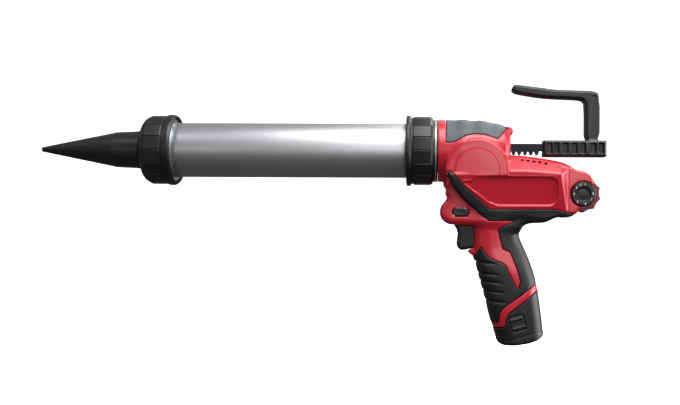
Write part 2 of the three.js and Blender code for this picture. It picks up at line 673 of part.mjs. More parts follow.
function addRackGuide() {
  const inner = RACK_HALF + SLIP + 0.2;
  const low = 3.8;
  const outline = [
    [-inner - 1.6, low],
    [-inner, low],
    [-inner, RACK_TOP + SLIP],
    [inner, RACK_TOP + SLIP],
    [inner, low],
    [inner + 1.6, low],
    [inner + 1.6, RACK_TOP + 1.8],
    [NOSE_R - 9.5, RACK_TOP + 1.8],
    [NOSE_R - 9.5, RACK_TOP + 5],
    [-NOSE_R + 9.5, RACK_TOP + 5],
    [-NOSE_R + 9.5, RACK_TOP + 1.8],
    [-inner - 1.6, RACK_TOP + 1.8],
  ];
  piece("rack_guide", bar(outline, [PINION_X - 16, PINION_X + 14]), "black");
}

// ---- trigger, lock button and dial
const TRIGGER_TOP = -75.7;
const TRIGGER_FOOT = [
  [23, -98.6],
  [30, -97.6],
  [TRIGGER_REAR, -95.6],
];
const triggerOutline = [
  [TRIGGER_REAR, TRIGGER_TOP],
  [19, TRIGGER_TOP],
  [19.6, -83],
  [18.6, -91.3],
  [20, -96],
  ...TRIGGER_FOOT,
];

// The room in the housing's front that the pulled trigger moves into.
const triggerMouth = [
  [TRIGGER_FOOT[1][0], TRIGGER_TOP + THREAD_GAP],
  [SWITCH_FRONT - 0.5, TRIGGER_TOP + THREAD_GAP],
  ...moved([...TRIGGER_FOOT].reverse(), [TRIGGER_TRAVEL + 1, -THREAD_GAP]),
  [TRIGGER_FOOT[0][0] + 2, TRIGGER_FOOT[0][1] - THREAD_GAP],
];

function addTrigger() {
  piece("trigger", pod(triggerOutline, TRIGGER_HALF, 2), "black");
  const plunger = rod([TRIGGER_REAR + SLIP, SWITCH_FRONT + 5], 3, [0, SWITCH_Z]);
  piece("switch_plunger", plunger, "steel");
}

function roundedBox([u, v], [width, height], r, steps = 3) {
  const outline = [];
  const corners = [[1, 1, 0], [-1, 1, 1], [-1, -1, 2], [1, -1, 3]];
  for (const [su, sv, quarter] of corners) {
    for (let i = 0; i <= steps; i++) {
      const angle = ((quarter + i / steps) * Math.PI) / 2;
      outline.push([
        u + su * (width / 2 - r) + r * Math.cos(angle),
        v + sv * (height / 2 - r) + r * Math.sin(angle),
      ]);
    }
  }
  return outline;
}

const buttonOutline = roundedBox(BUTTON, BUTTON_SIZE, 3.6);

function addLockButton() {
  const reach = BODY_HALF + BUTTON_STAND;
  piece("lock_button", plate(buttonOutline, [-reach, reach]), "black");
}

function addDial() {
  const outline = [];
  const steps = 4; // points in each scallop
  const count = DIAL_SCALLOPS * steps;
  for (let i = 0; i < count; i++) {
    const angle = (2 * Math.PI * i) / count;
    const r = DIAL_R - DIAL_DIP * Math.sin((Math.PI * (i % steps)) / steps);
    outline.push([DIAL[0] + r * Math.cos(angle), DIAL[1] + r * Math.sin(angle)]);
  }
  piece("speed_dial", plate(outline, [-DIAL_WHEEL_HALF, DIAL_WHEEL_HALF]), "darkRed");
  const face = turnedAcross(
    [
      [DIAL_WHEEL_HALF + SLIP, 0],
      [DIAL_WHEEL_HALF + SLIP, DIAL_FACE_R],
      [DIAL_HALF + 0.4, DIAL_FACE_R],
      [DIAL_HALF + 1.4, DIAL_FACE_R - 1.4],
      [DIAL_HALF + 1.4, 0],
    ],
    DIAL,
    MIDDLE_ROUND,
  );
  piece("dial_face_right", face, "black");
  piece("dial_face_left", mirrored(face), "black");
}

// ---- battery
const gripEnd = [
  [112, -126.8],
  [98.3, -137.4],
  [70.2, -159.3],
  [67.4, -163.5],
  [66, -172.6],
  [40, -178],
];

function addBattery() {
  const foot = [
    gripEdge(0.5, -1, 5),
    gripEdge(16.5, -1, 7.4),
    gripEdge(STEM_END - 9.6, -1, 7.1),
    gripEdge(STEM_END - 1.8, -1, 5.8),
    gripEdge(STEM_END + 1.1, -1, 1.4),
    gripPoint(STEM_END + 3.7, -8.3),
    gripPoint(STEM_END + 4.9, 10.1),
    gripEdge(STEM_END - 0.3, 1, 1.2),
    gripEdge(25.3, 1, 6.2),
    gripEdge(0.9, 1, 7.8),
    gripEdge(-10.2, 1, 1.7),
  ];
  const aboveEnd = [[112, -60], ...moved(gripEnd, [0.1, -THREAD_GAP]), [20, -178], [20, -60]];
  const lower = pod(foot, FOOT_HALF, 5).subtract(plate(aboveEnd, [-40, 40]));
  const stem = pod(gripBox([-STEM_TOP, STEM_END], [-STEM_DEPTH, STEM_DEPTH]), STEM_HALF, 8);
  let battery = lower.add(stem);
  const cells = [[CELL_ACROSS, CELL_SIDE], [CELL_ACROSS, -CELL_SIDE], [-CELL_ACROSS, 0]];
  const start = -STEM_TOP + 2.5;
  cells.forEach(([across, y], i) => {
    const cell = cellRod([start, start + CELL_LENGTH], CELL_R, across, y);
    piece(`battery_cell_${i + 1}`, cell, "cell");
    battery = battery.subtract(
      cellRod([-STEM_TOP - 2, start + CELL_LENGTH + SLIP], CELL_R + SLIP, across, y),
    );
  });
  const pocketFloor = FOOT_HALF - 0.2 - LATCH_THICK - LATCH_TRAVEL - SLIP;
  const pocket = plate(latchOutline, [pocketFloor, FOOT_HALF + 2], SLIP);
  battery = battery.subtract(pocket).subtract(mirrored(pocket));
  piece("battery_case", battery, "black");
  const latch = plate(latchOutline, [FOOT_HALF - 0.2 - LATCH_THICK, FOOT_HALF - 0.2]);
  piece("latch_right", latch, "black");
  piece("latch_left", mirrored(latch), "black");
}

const latchOutline = gripBox([19, 34], [-9, 5]);

function cellRod([a0, a1], r, across, y) {
  const rodGeometry = new THREE.CylinderGeometry(r, r, a1 - a0, MIDDLE_ROUND);
  rodGeometry.rotateX(Math.PI / 2).rotateY(-GRIP_LEAN);
  const [x, z] = gripPoint((a0 + a1) / 2, across);
  return solid(rodGeometry.translate(x, y, z));
}

// ---- housing
const bodyOutline = [
  [5, -6],
  [5.5, -44],
  [2.4, -56],
  [2.2, -65],
  [14, -75],
  [72, -74],
  [72, -6],
];
const motorOutline = [
  [60, -4],
  [84, -4.8],
  [114, -9.1],
  [130, -14.5],
  [137, -24],
  [138, -50],
  [128, -64.6],
  [100, -68],
  [60, -72],
];
const dialOutline = [
  [120, -12],
  [130, -15.6],
  [138, -19.8],
  [150, -23],
  [156, -32],
  [156.5, -45],
  [150, -55.5],
  [139, -60.5],
  [120, -63],
];
const gripOutline = [
  [36.2, -60],
  gripEdge(-47.7, -1, 6.6),
  gripEdge(-14.6, -1, 7.3),
  gripEdge(8.1, -1, 7.8),
  gripEdge(35, -1, 8),
  gripEdge(47.6, 1, 0.2),
  gripEdge(19, 1, 5.9),
  gripEdge(3, 1, 7.9),
  gripEdge(-21.9, 1, 8.2),
  gripEdge(-47.5, 1, 5.3),
  [80, -79],
  [84, -60],
];
const lipOutline = [
  [42, -97.7],
  [30.5, -99.6],
  [36.5, -107.3],
  [46, -110],
];

// The outside of the housing, or the same shape a given depth under its surface.
function housingShape(depth, gripDepth = depth, sides = ROUND, steps = 2) {
  const noseProfile = [
    [depth, 0],
    [depth, NOSE_R - depth],
    [40, NOSE_R - depth],
    [48, NOSE_R - 1 - depth],
    [60, NOSE_R - 3.6 - depth],
    [70 - depth, NOSE_R - 8 - depth],
    [71.3 - depth, NOSE_R - 11 - depth],
    [71.3 - depth, 0],
  ];
  const bossProfile = [
    [-BOSS_HALF + depth, 0],
    [-BOSS_HALF + depth, BOSS_FACE_R],
    [-BOSS_HALF + 6, BOSS_R - depth],
    [BOSS_HALF - 6, BOSS_R - depth],
    [BOSS_HALF - depth, BOSS_FACE_R],
    [BOSS_HALF - depth, 0],
  ];
  return union(
    turned(noseProfile, sides),
    turnedAcross(bossProfile, DRIVE, sides),
    pod(bodyOutline, BODY_HALF, 7, depth, steps),
    pod(motorOutline, MOTOR_HALF, 8, depth, steps),
    pod(gripOutline, GRIP_HALF, 9, gripDepth, steps),
  );
}

const topPadOutline = [
  [7.7, 6.5],
  [15.2, 7.3],
  [27, 14.1],
  [36, 16],
  [46, 15.2],
  [58, 10.9],
  [68, 22.6],
  [68, 50],
  [7.7, 50],
];
const bumperOutline = [
  [9.4, -23.1],
  [13.1, -32.8],
  [19.9, -42.1],
  [39.3, -61.4],
  [44.9, -64.8],
  [50, -67],
  [118, -67],
  [124, -57.4],
  [48.6, -57],
  [32.6, -41.3],
  [22.8, -31.2],
  [16.9, -25.3],
];
const gripPadOutline = [
  [26, -110],
  [37.6, -101.5],
  [42.4, -95.4],
  [50.4, -105.3],
  [66.1, -112.4],
  [78, -136.8],
  [81.1, -129.8],
  [78, -117.2],
  [71.6, -100.3],
  [63.8, -96.8],
  [59.2, -76],
  [66, -72],
  [76, -76],
  [112, -84],
  [112, -119],
  [97, -131.1],
  [65.3, -153.7],
  [59.7, -168.5],
  [30, -172],
];

// Screws, each with the place of its axis and the height of its seat on the right-hand side.
const SCREWS = [
  { at: [62, NOSE_R - 13], seat: 12 },
  { at: [13, -47], seat: 13 },
  { at: [44, -69.5], seat: 13 },
  { at: [127.5, -24], seat: 13 },
  { at: [50, -105], seat: 13 },
];
const SCREW_TAIL = 11;

function cutForMovingPieces(shape) {
  const nose = rod([-2, WALL + 1.01], SPIGOT_R + SLIP, [0, 0], ROUND);
  const rackY = [-RACK_HALF - 0.6, RACK_HALF + 0.6];
  const rackHole = box([60, 80], rackY, [RACK_TIP - 0.7, RACK_TOP + 0.6]);
  const mouth = plate(triggerMouth, [-TRIGGER_HALF - 0.5, TRIGGER_HALF + 0.5]);
  const button = plate(buttonOutline, [-40, 40], SLIP);
  const wheelY = [-DIAL_WHEEL_HALF - SLIP, DIAL_WHEEL_HALF + SLIP];
  const wheel = pin(wheelY, DIAL_R + 0.6, DIAL, ROUND);
  const faces = pin([-40, 40], DIAL_FACE_R + SLIP, DIAL, MIDDLE_ROUND);
  const belowEnd = plate([...gripEnd, [20, -178], [20, -260], [112, -260]], [-40, 40]);
  return [nose, rackHole, mouth, button, wheel, faces, belowEnd].reduce(
    (left, cut) => left.subtract(cut),
    shape,
  );
}

// The solid places inside the housing: bush seats, motor cradles and screw bosses.
function innerSupports() {
  const driveTube = pin([BOSS_HALF - 9, BOSS_HALF], DRIVE_BUSH_R + 3, DRIVE, MIDDLE_ROUND);
  const layRight = pin([16, 30], LAY_BUSH_R + 2.6, LAY, SMALL_ROUND);
  const layLeft = pin([-30, -14], LAY_BUSH_R + 2.6, LAY, SMALL_ROUND);
  const cradle = (x) =>
    box([x, x + 2.5], [-40, 40], [MOTOR_Z - 30, MOTOR_Z + 26]).subtract(
      rod([x - 1, x + 4], MOTOR_R + SLIP, [0, MOTOR_Z], ROUND),
    );
  const bosses = SCREWS.map(({ at }) => pin([-40, 40], SCREW_BOSS_R, at));
  const cradles = [cradle(GEARBOX_X[0] + 5), cradle(MOTOR_X[0] + 2.1)];
  return [driveTube, mirrored(driveTube), layRight, layLeft, ...cradles, ...bosses];
}

function addHousing() {
  const outside = housingShape(0);
  const cavity = housingShape(WALL, GRIP_WALL, MIDDLE_ROUND, 1).subtract(
    box([-5, WALL + 1], [-40, 40], [-40, 40]),
  );
  const underPads = housingShape(PAD);
  const dialPod = pod(dialOutline, DIAL_HALF, 4);
  const lip = pod(lipOutline, 10, 2);
  const hollow = innerSupports().reduce((left, support) => left.subtract(support), cavity);
  let shell = union(outside, dialPod, lip).subtract(hollow);
  const cells = [
    pin([BOSS_HALF - 10, BOSS_HALF - 3], DRIVE_BUSH_R + SLIP, DRIVE, MIDDLE_ROUND),
    pin([-BOSS_HALF + 3, -BOSS_HALF + 10], DRIVE_BUSH_R + SLIP, DRIVE, MIDDLE_ROUND),
    pin([13, 22], LAY_BUSH_R + SLIP, LAY, MIDDLE_ROUND),
    pin([-20, -13], LAY_BUSH_R + SLIP, LAY, MIDDLE_ROUND),
  ];
  SCREWS.forEach(({ at, seat }) => {
    cells.push(pin([-SCREW_TAIL - 1, seat + 1], SCREW_R + 0.2, at, 8));
    cells.push(pin([seat, 40], SCREW_HEAD_R + SLIP, at));
  });
  shell = cells.reduce((left, cut) => left.subtract(cut), shell);
  shell = cutForMovingPieces(shell);
  const screwWells = SCREWS.map(({ at, seat }) => pin([seat, 40], SCREW_HEAD_R + SLIP, at));
  const pads = [
    ["top_pad", topPadOutline, "grey"],
    ["bumper", bumperOutline, "soft"],
    ["grip_pad", gripPadOutline, "soft"],
  ];
  const skin = screwWells.reduce(
    (left, well) => left.subtract(well),
    cutForMovingPieces(outside.subtract(underPads)),
  );
  const bed = housingShape(PAD + SLIP);
  for (const [name, outline, finish] of pads) {
    shell = shell.subtract(plate(outline, [-50, 50], SLIP).subtract(bed));
    const pad = skin.intersect(plate(outline, [-50, 50]));
    piece(`${name}_left`, biggest(leftHalf(pad)), finish);
    piece(`${name}_right`, biggest(rightHalf(pad)), finish);
  }
  piece("housing_left", biggest(leftHalf(shell)), "red");
  piece("housing_right", biggest(rightHalf(shell)), "red");
  SCREWS.forEach(({ at, seat }, i) => {
    const head = pin([seat + 0.1, seat + 2.3], SCREW_HEAD_R, at);
    const shank = pin([-SCREW_TAIL, seat + 1], SCREW_R, at, 8);
    piece(`housing_screw_${i + 1}`, head.add(shank), "steel");
  });
}

const leftHalf = (part) => part.intersect(box([-400, 400], [-90, -SEAM], [-300, 200]));
const rightHalf = (part) => part.intersect(box([-400, 400], [SEAM, 90], [-300, 200]));

// Cuts can leave a loose sliver beside the piece itself: only the piece is kept.
function biggest(part) {
  const bodies = part.decompose();
  return bodies.reduce((best, body) => (body.volume() > best.volume() ? body : best));
}

addHousing();
addBarrel();
addNozzle();
addFrontCollar();
addRearCollar();
addAdapter();
addPiston();
addRack();
addPullHandle();
addDriveShaft();
addLayshaft();
addOutputPinion();
addBushes();
addMotor();
addElectrics();
addRackGuide();
addTrigger();
addLockButton();
addDial();
addBattery();

// The origin is the middle of the part of the grip that the hand closes on.
const HAND = [66, -124];
tool.position.set(-HAND[0], 0, -HAND[1]);

export default tool;
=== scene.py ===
# %% [markdown]
# # A cordless caulking gun
# The gun pushes sealant out of a long aluminium barrel. A motor in the housing drives a toothed
# rack, the rack pushes a piston, and the piston empties the pack in the barrel through the nozzle.
# This lesson gives the engineering model its looks: rounded mouldings, soft grips, satin metal.
# Every piece is built in the frame of that model, so that it moves with it.

# %% Load the frame
import json
import math

import bmesh
import bpy
import numpy as np
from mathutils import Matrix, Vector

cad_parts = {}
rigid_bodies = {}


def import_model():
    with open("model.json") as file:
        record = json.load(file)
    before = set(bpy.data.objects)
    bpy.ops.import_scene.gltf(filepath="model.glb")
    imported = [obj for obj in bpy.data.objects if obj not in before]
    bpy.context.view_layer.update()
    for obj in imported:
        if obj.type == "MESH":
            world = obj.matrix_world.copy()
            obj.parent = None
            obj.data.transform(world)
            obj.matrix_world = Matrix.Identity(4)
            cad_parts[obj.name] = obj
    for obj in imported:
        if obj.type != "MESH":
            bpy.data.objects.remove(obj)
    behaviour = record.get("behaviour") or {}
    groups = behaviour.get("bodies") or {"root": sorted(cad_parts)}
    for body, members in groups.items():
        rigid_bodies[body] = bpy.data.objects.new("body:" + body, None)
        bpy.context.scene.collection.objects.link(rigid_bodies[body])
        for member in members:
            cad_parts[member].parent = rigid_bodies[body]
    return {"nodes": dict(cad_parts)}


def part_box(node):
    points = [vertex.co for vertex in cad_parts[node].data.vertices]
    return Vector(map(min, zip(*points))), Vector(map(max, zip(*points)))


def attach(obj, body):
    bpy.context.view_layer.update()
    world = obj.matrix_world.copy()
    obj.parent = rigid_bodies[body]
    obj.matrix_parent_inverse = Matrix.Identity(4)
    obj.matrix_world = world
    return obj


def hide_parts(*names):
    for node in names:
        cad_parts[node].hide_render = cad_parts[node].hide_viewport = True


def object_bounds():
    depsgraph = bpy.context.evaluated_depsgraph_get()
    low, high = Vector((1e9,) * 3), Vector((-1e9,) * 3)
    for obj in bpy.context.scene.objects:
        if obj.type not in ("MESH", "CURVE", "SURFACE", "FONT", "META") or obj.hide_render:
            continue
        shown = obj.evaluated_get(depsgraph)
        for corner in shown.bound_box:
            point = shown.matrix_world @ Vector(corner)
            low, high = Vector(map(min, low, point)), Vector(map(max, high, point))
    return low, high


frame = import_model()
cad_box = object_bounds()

import openvdb
from mathutils import Vector

# %% [markdown]
# ## Millimetres from the barrel's axis
# A maker measures this tool from the barrel: along its axis from the front of the housing, sideways,
# and up. All the shapes below are given in those millimetres. Blender works in metres from the
# middle of the grip, so one function turns the first into the second. The tube and the housing say
# where the axis is, so nothing is fitted by eye.

# %% Tool millimetres to metres
tube_low, tube_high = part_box("barrel_tube")
ORIGIN = Vector((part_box("housing_left")[0].x, 0, (tube_low.z + tube_high.z) / 2))
TUBE_R = (tube_high.z - tube_low.z) * 500


def span(node):
    """The lowest and highest corners of a CAD node, in tool millimetres."""
    return [(corner - ORIGIN) * 1000 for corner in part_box(node)]


print("barrel axis at", [round(c, 4) for c in ORIGIN], "tube radius", round(TUBE_R, 2), "mm")

# %% [markdown]
# ## Shader sums as plain Python
# Most of a finish is arithmetic on values that change over the surface. Adding Math nodes by hand
# hides that arithmetic, so a small class wraps a socket and gives it the usual operators. A second
# class holds one material, and one method adds any other node.

# %% Sockets that can be added and multiplied
class Value:
    """A node's output that takes part in sums. Each operator adds one Math node."""

    def __init__(self, finish, socket):
        self.finish, self.socket = finish, socket

    def _with(self, operation, first, second):
        return self.finish.node("ShaderNodeMath", {"operation": operation}, {0: first, 1: second})

    def __add__(self, other):
        return self._with("ADD", self, other)

    def __sub__(self, other):
        return self._with("SUBTRACT", self, other)

    def __rsub__(self, other):
        return self._with("SUBTRACT", other, self)

    def __mul__(self, other):
        return self._with("MULTIPLY", self, other)

    __radd__, __rmul__ = __add__, __mul__


# %% [markdown]
# ## One material, with its shader
# A finish starts as a Principled shader with constant values on its own sockets. What varies is
# linked afterwards. Positions come from the object's own coordinates, which are metres here, so a
# noise scale of 1000 makes grains of about a millimetre.

# %% The finish
class Finish:
    def __init__(self, name, **constants):
        self.material = bpy.data.materials.new(name)
        self.material.use_nodes = True
        self.tree = self.material.node_tree
        self.shader = self.tree.nodes["Principled BSDF"]
        for socket, value in constants.items():
            self.shader.inputs[socket.replace("_", " ")].default_value = value
        self.place = self.node("ShaderNodeTexCoord", out="Object")

    def node(self, kind, settings=(), inputs=(), out=0):
        """Adds a node, sets it, fills its sockets with values or links, and returns an output."""
        node = self.tree.nodes.new(kind)
        for key, value in dict(settings).items():
            if key == "stops":
                for stop, (at, colour) in zip(node.color_ramp.elements, value):
                    stop.position, stop.color = at, (*colour, 1)
            else:
                setattr(node, key, value)
        for key, value in dict(inputs).items():
            if isinstance(value, Value):
                self.tree.links.new(value.socket, node.inputs[key])
            else:
                node.inputs[key].default_value = value
        return Value(self, node.outputs[out])

    def noise(self, scale, detail=2, stretch=(1, 1, 1), roughness=0.5):
        """Noise from 0 to 1 with that many grains to the metre."""
        place = self.node("ShaderNodeVectorMath", {"operation": "MULTIPLY"}, {0: self.place, 1: stretch})
        inputs = {"Vector": place, "Scale": scale, "Detail": detail, "Roughness": roughness}
        return self.node("ShaderNodeTexNoise", {}, inputs)

    def ramp(self, value, low, high):
        """0 below low and 1 above high."""
        inputs = {"Value": value, "From Min": low, "From Max": high}
        return self.node("ShaderNodeMapRange", {"clamp": True}, inputs)

    def blend(self, factor, one, other):
        """A colour between two colours."""
        inputs = {0: factor, 6: one, 7: other}
        return self.node("ShaderNodeMix", {"data_type": "RGBA"}, inputs, out=2)

    def link(self, socket, value):
        self.tree.links.new(value.socket, self.shader.inputs[socket])

    def bump(self, height, depth):
        """Depth is in metres."""
        inputs = {"Height": height, "Distance": depth, "Strength": 1.0}
        self.link("Normal", self.node("ShaderNodeBump", {}, inputs))


# %% [markdown]
# ## Moulded plastic
# The shells are glass-filled nylon. Its surface has a very fine spark-eroded grain from the mould,
# a slow drift in shade where the melt flowed, and edges that are rubbed shinier and paler. The
# edges come from the mesh's pointiness, so the wear follows the shape by itself.

# %% Plastic and rubber
def colour(hex_code):
    """A screen colour as the linear values that a shader uses."""
    parts = [int(hex_code[i : i + 2], 16) / 255 for i in (0, 2, 4)]
    return (*[p / 12.92 if p < 0.04 else ((p + 0.055) / 1.055) ** 2.4 for p in parts], 1)


def plastic(name, base, pale, roughness, grain, depth, wear=0.5, **constants):
    """base and pale are screen colours, grain is in grains to the metre and depth in metres."""
    finish = Finish(name, **constants)
    drift = finish.noise(35, 3)
    speckle = finish.noise(grain, 3, roughness=0.65)
    edges = finish.node("ShaderNodeNewGeometry", out="Pointiness")
    rubbed = finish.ramp(edges + finish.noise(260, 3) * 0.04, 0.535, 0.60)
    shade = finish.blend(drift * 0.5 + speckle * 0.2, colour(base), colour(pale))
    finish.link("Base Color", finish.blend(rubbed * (0.35 * wear), shade, colour(pale)))
    finish.link("Roughness", drift * 0.08 + speckle * 0.10 + rubbed * (-0.10 * wear) + (roughness - 0.09))
    finish.bump(speckle, depth)
    return finish.material


LACQUER = {"Coat_Weight": 0.3, "Coat_Roughness": 0.22}
RED = plastic("red_shell", "BC1227", "C92138", 0.30, 2600, 0.00005, **LACQUER)
# The thumb wheel's red is a darker copy of the shell red: painted shade for its rim, which faces away from
# the light.
RED_WITH_PAINTED_SHADE = plastic("dark_red_wheel", "640A16", "7E1020", 0.36, 2600, 0.00006)
BLACK = plastic("black_nylon", "101112", "1E2021", 0.38, 2200, 0.0001, 0.8)
MATT_BLACK = plastic("black_handle", "121314", "232527", 0.40, 1800, 0.00012, 0.8)
RUBBER = plastic("black_overmould", "0E1112", "1B1F20", 0.43, 1500, 0.00018, 0.6)
# The top pad's grey is a paler copy of the black overmould: painted light for its upward-facing top.
RUBBER_WITH_PAINTED_LIGHT = plastic("grey_overmould", "41494E", "50595E", 0.55, 1500, 0.00018, 0.4)
WHITE = plastic("white_marking", "DADCDD", "F0F1F2", 0.5, 2600, 0.00003)
CELL_WRAP = plastic("cell_wrap", "2A62A0", "3A78B8", 0.35, 1200, 0.00004)
print("plastics and rubbers:", len(bpy.data.materials))

# %% [markdown]
# ## Metals
# The tube is satin anodised aluminium: it was turned and blasted, so faint rings run round it. The
# rings are noise that is stretched hard along the axis. Steel parts are ground or blackened.

# %% Aluminium, steel and bronze
def metal(name, base, dark, roughness, stretch, depth, **constants):
    finish = Finish(name, Metallic=1.0, **constants)
    rings = finish.noise(60, 4, stretch, 0.7)
    cloud = finish.noise(22, 3)
    scuff = finish.ramp(finish.noise(420, 5, roughness=0.75), 0.62, 0.78)
    shade = finish.blend(rings * 0.5 + cloud * 0.5, colour(dark), colour(base))
    finish.link("Base Color", finish.blend(scuff * 0.25, shade, colour(dark)))
    finish.link("Roughness", rings * 0.10 + cloud * 0.06 + scuff * 0.12 + (roughness - 0.08))
    finish.bump(rings, depth)
    return finish.material


ROUND_THE_AXIS = (40, 1, 1)
ALUMINIUM = metal("satin_aluminium", "CFD0D2", "BBBDC0", 0.46, ROUND_THE_AXIS, 0.00003)
BRIGHT = metal("bright_ring", "E2E4E6", "C8CACC", 0.22, ROUND_THE_AXIS, 0.00002)
STEEL = metal("ground_steel", "A7ABB0", "85898E", 0.34, (1, 25, 1), 0.00004)
BLACK_STEEL = metal("blackened_steel", "33363A", "1D1F22", 0.42, (3, 1, 1), 0.00006)
BRONZE = metal("oil_bronze", "A8854C", "7E6236", 0.45, (1, 12, 1), 0.00005)
print("finishes so far:", len(bpy.data.materials))

# %% [markdown]
# ## The circuit board
# The board is glass fibre under green lacquer, and its copper tracks show through as lighter lines.

# %% Lacquered board
def board():
    finish = Finish("circuit_board", Roughness=0.35)
    inputs = {"Vector": finish.place, "Scale": 260.0, "Mortar Size": 0.03}
    lines = finish.node("ShaderNodeTexBrick", {}, inputs, "Fac")
    speckle = finish.noise(1800, 2)
    shade = finish.blend(lines, colour("1A5230"), colour("3E8A4E"))
    finish.link("Base Color", finish.blend(speckle * 0.3, shade, colour("123A22")))
    finish.bump(lines, 0.00005)
    return finish.material


BOARD = board()
print("board finish ready")

# %% [markdown]
# ## Putting a piece in place
# Every piece ends the same way. Its points turn from tool millimetres into metres, it gets its
# finish, it rides on its body, and it stands for its CAD node. One function does that for all.

# %% Placing a piece
PIECES = []


def place(name, points, faces, finish, body, nodes, slot, sharp=35, bevel=0.0):
    """points are in tool millimetres. sharp is the angle above which an edge stays crisp."""
    mesh = bpy.data.meshes.new(name)
    mesh.from_pydata(np.asarray(points, float) / 1000 + np.array(ORIGIN), [], faces)
    mesh.materials.append(finish)
    shape = bmesh.new()
    shape.from_mesh(mesh)
    bmesh.ops.remove_doubles(shape, verts=shape.verts, dist=1e-6)
    bmesh.ops.recalc_face_normals(shape, faces=shape.faces)
    shape.to_mesh(mesh)
    shape.free()
    piece = bpy.data.objects.new(name, mesh)
    bpy.context.scene.collection.objects.link(piece)
    if bevel:
        rounding = piece.modifiers.new("edges", "BEVEL")
        rounding.width, rounding.segments = bevel / 1000, 2
        rounding.limit_method, rounding.angle_limit = "ANGLE", math.radians(sharp)
        bake(piece)
    piece.data.polygons.foreach_set("use_smooth", [True] * len(piece.data.polygons))
    piece.data.set_sharp_from_angle(angle=math.radians(sharp))
    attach(piece, body)
    if nodes:
        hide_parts(*nodes)
    PIECES.append(piece)
    return piece


def bake(piece):
    """Turns a piece's modifiers into plain mesh."""
    graph = bpy.context.evaluated_depsgraph_get()
    mesh = bpy.data.meshes.new_from_object(piece.evaluated_get(graph))
    piece.modifiers.clear()
    piece.data = mesh


# %% [markdown]
# ## Turned parts
# Nozzle, tube and collars are bodies of revolution, so they are drawn as half a section and swept
# round the axis. The sweep can change the radius with the angle, which gives the collars their
# sixteen flats without any cutting.

# %% Turning a section
def turned(
    name, section, finish, body, nodes, slot, sides=96, swell=None, bevel=0.35, across=None, angles=None
):
    """section holds (along, radius) points of a closed line, about the X axis, or about a line
    along Y through across."""
    turns = np.asarray(angles) if angles is not None else np.arange(sides) * 2 * math.pi / sides
    count, length = len(turns), len(section)
    points = []
    for angle in turns:
        for along, radius in section:
            r = swell(angle, along, radius) if swell else radius
            u, v = r * math.cos(angle), r * math.sin(angle)
            points.append((along, u, v) if across is None else (across[0] + u, along, across[1] + v))
    faces = []
    for i in range(count):
        for j in range(length):
            a, b = i * length, (i + 1) % count * length
            k = (j + 1) % length
            if section[j][1] or section[k][1]:
                faces.append((a + j, b + j, b + k, a + k))
    return place(name, points, faces, finish, body, nodes, slot, 28, bevel)


print("lathe ready")

# %% [markdown]
# ## The barrel tube and its threaded rings
# The tube is a plain aluminium extrusion. Its wall shows at the ends once a collar is off, and the
# bright ring at its front end is what catches the light inside the front collar.

# %% Tube and rings
low, high = span("barrel_tube")
WALL = 1.8
tube = [(low.x, TUBE_R - WALL), (low.x, TUBE_R), (high.x, TUBE_R), (high.x, TUBE_R - WALL)]
turned("tube", tube, ALUMINIUM, "barrel", ["barrel_tube"], "aluminium", sides=160, bevel=0.3)


def threaded(node, name, finish, slot):
    """A ring whose thread is drawn as even ridges."""
    low, high = span(node)
    outer, depth, pitch = high.z, 0.7, 2.0
    ridges, x = [], low.x + 0.6
    while x + pitch < high.x - 0.4:
        crest = outer - 0.05
        ridges += [(x, outer - depth), (x + 0.7, crest), (x + 1.2, crest), (x + 1.9, outer - depth)]
        x += pitch
    inner = TUBE_R + 0.25
    section = [(low.x, inner), (low.x, outer - depth), *ridges, (high.x, outer - depth), (high.x, inner)]
    turned(name, section, finish, "barrel", [node], slot, bevel=0)


threaded("front_thread_ring", "front_ring", BRIGHT, "aluminium")
threaded("rear_flange_ring", "rear_ring", BLACK, "black")
print("tube from", round(low.x), "to", round(high.x), "mm")

# %% [markdown]
# ## Nozzle
# The nozzle is a blow of black plastic with a long cone and a short, nearly straight root. Two faint
# witness rings and a rolled edge at the tip are what tells a moulding from a plain cone.

# %% Nozzle
tip, base = span("nozzle")
SHOULDER, MOUTH, TIP_R, TIP_BORE = -321.4, 18.7, 2.4, 1.4
outside = [
    (tip.x, TIP_R - 0.3), (tip.x + 0.5, TIP_R), (tip.x + 6, TIP_R + 1.0), (tip.x + 6.6, TIP_R + 1.25),
    (SHOULDER - 1.5, MOUTH - 1.75), (SHOULDER - 0.5, MOUTH - 1.35), (SHOULDER + 1.5, MOUTH - 1.15),
    (SHOULDER + 21, MOUTH - 0.3), (SHOULDER + 22, MOUTH), (-290.6, MOUTH), (-290.6, TUBE_R - 0.6),
    (base.x, TUBE_R - 0.6),
]
bore = [(base.x, MOUTH - 1.7), (SHOULDER, MOUTH - 3.1), (tip.x, TIP_BORE)]
turned("nozzle_cone", outside + bore, BLACK, "nozzle", ["nozzle"], "black", sides=120, bevel=0.2)
print("nozzle is", round(base.x - tip.x, 1), "mm long")

# %% [markdown]
# ## Collars with sixteen flats
# Both collars unscrew by hand, so the mould gives them flats with a fine groove between each pair.
# The radius of a flat grows towards its corners as one over the cosine, and the grooves are two
# close angles where it drops.

# %% Flats and grooves
FLATS = 16
STEP = 2 * math.pi / FLATS
TILT = math.radians(1.6)
GROOVE = 0.016


def flat_angles():
    """Angles that put enough points on each flat and four on each groove."""
    near, far = 0.5 - GROOVE * 3.2, 0.5 - GROOVE * 5
    shares = [-0.5 - GROOVE, -0.5 + GROOVE, -near, -far, -0.25, 0.0, 0.25, far, near]
    return [TILT + (k + 0.5 + t) * STEP for k in range(FLATS) for t in shares]


def flats(start, end, drop=0.75):
    """A swell that makes flats and grooves between two places along the axis."""
    def swell(angle, along, radius):
        if not start - 0.01 <= along <= end + 0.01 or radius < TUBE_R + 4:
            return radius
        turn = (angle - TILT) / STEP % 1 - 0.5
        radius *= math.cos(STEP / 2) / math.cos(turn * STEP)
        return radius - drop if abs(turn) > 0.5 - GROOVE * 2 else radius
    return swell


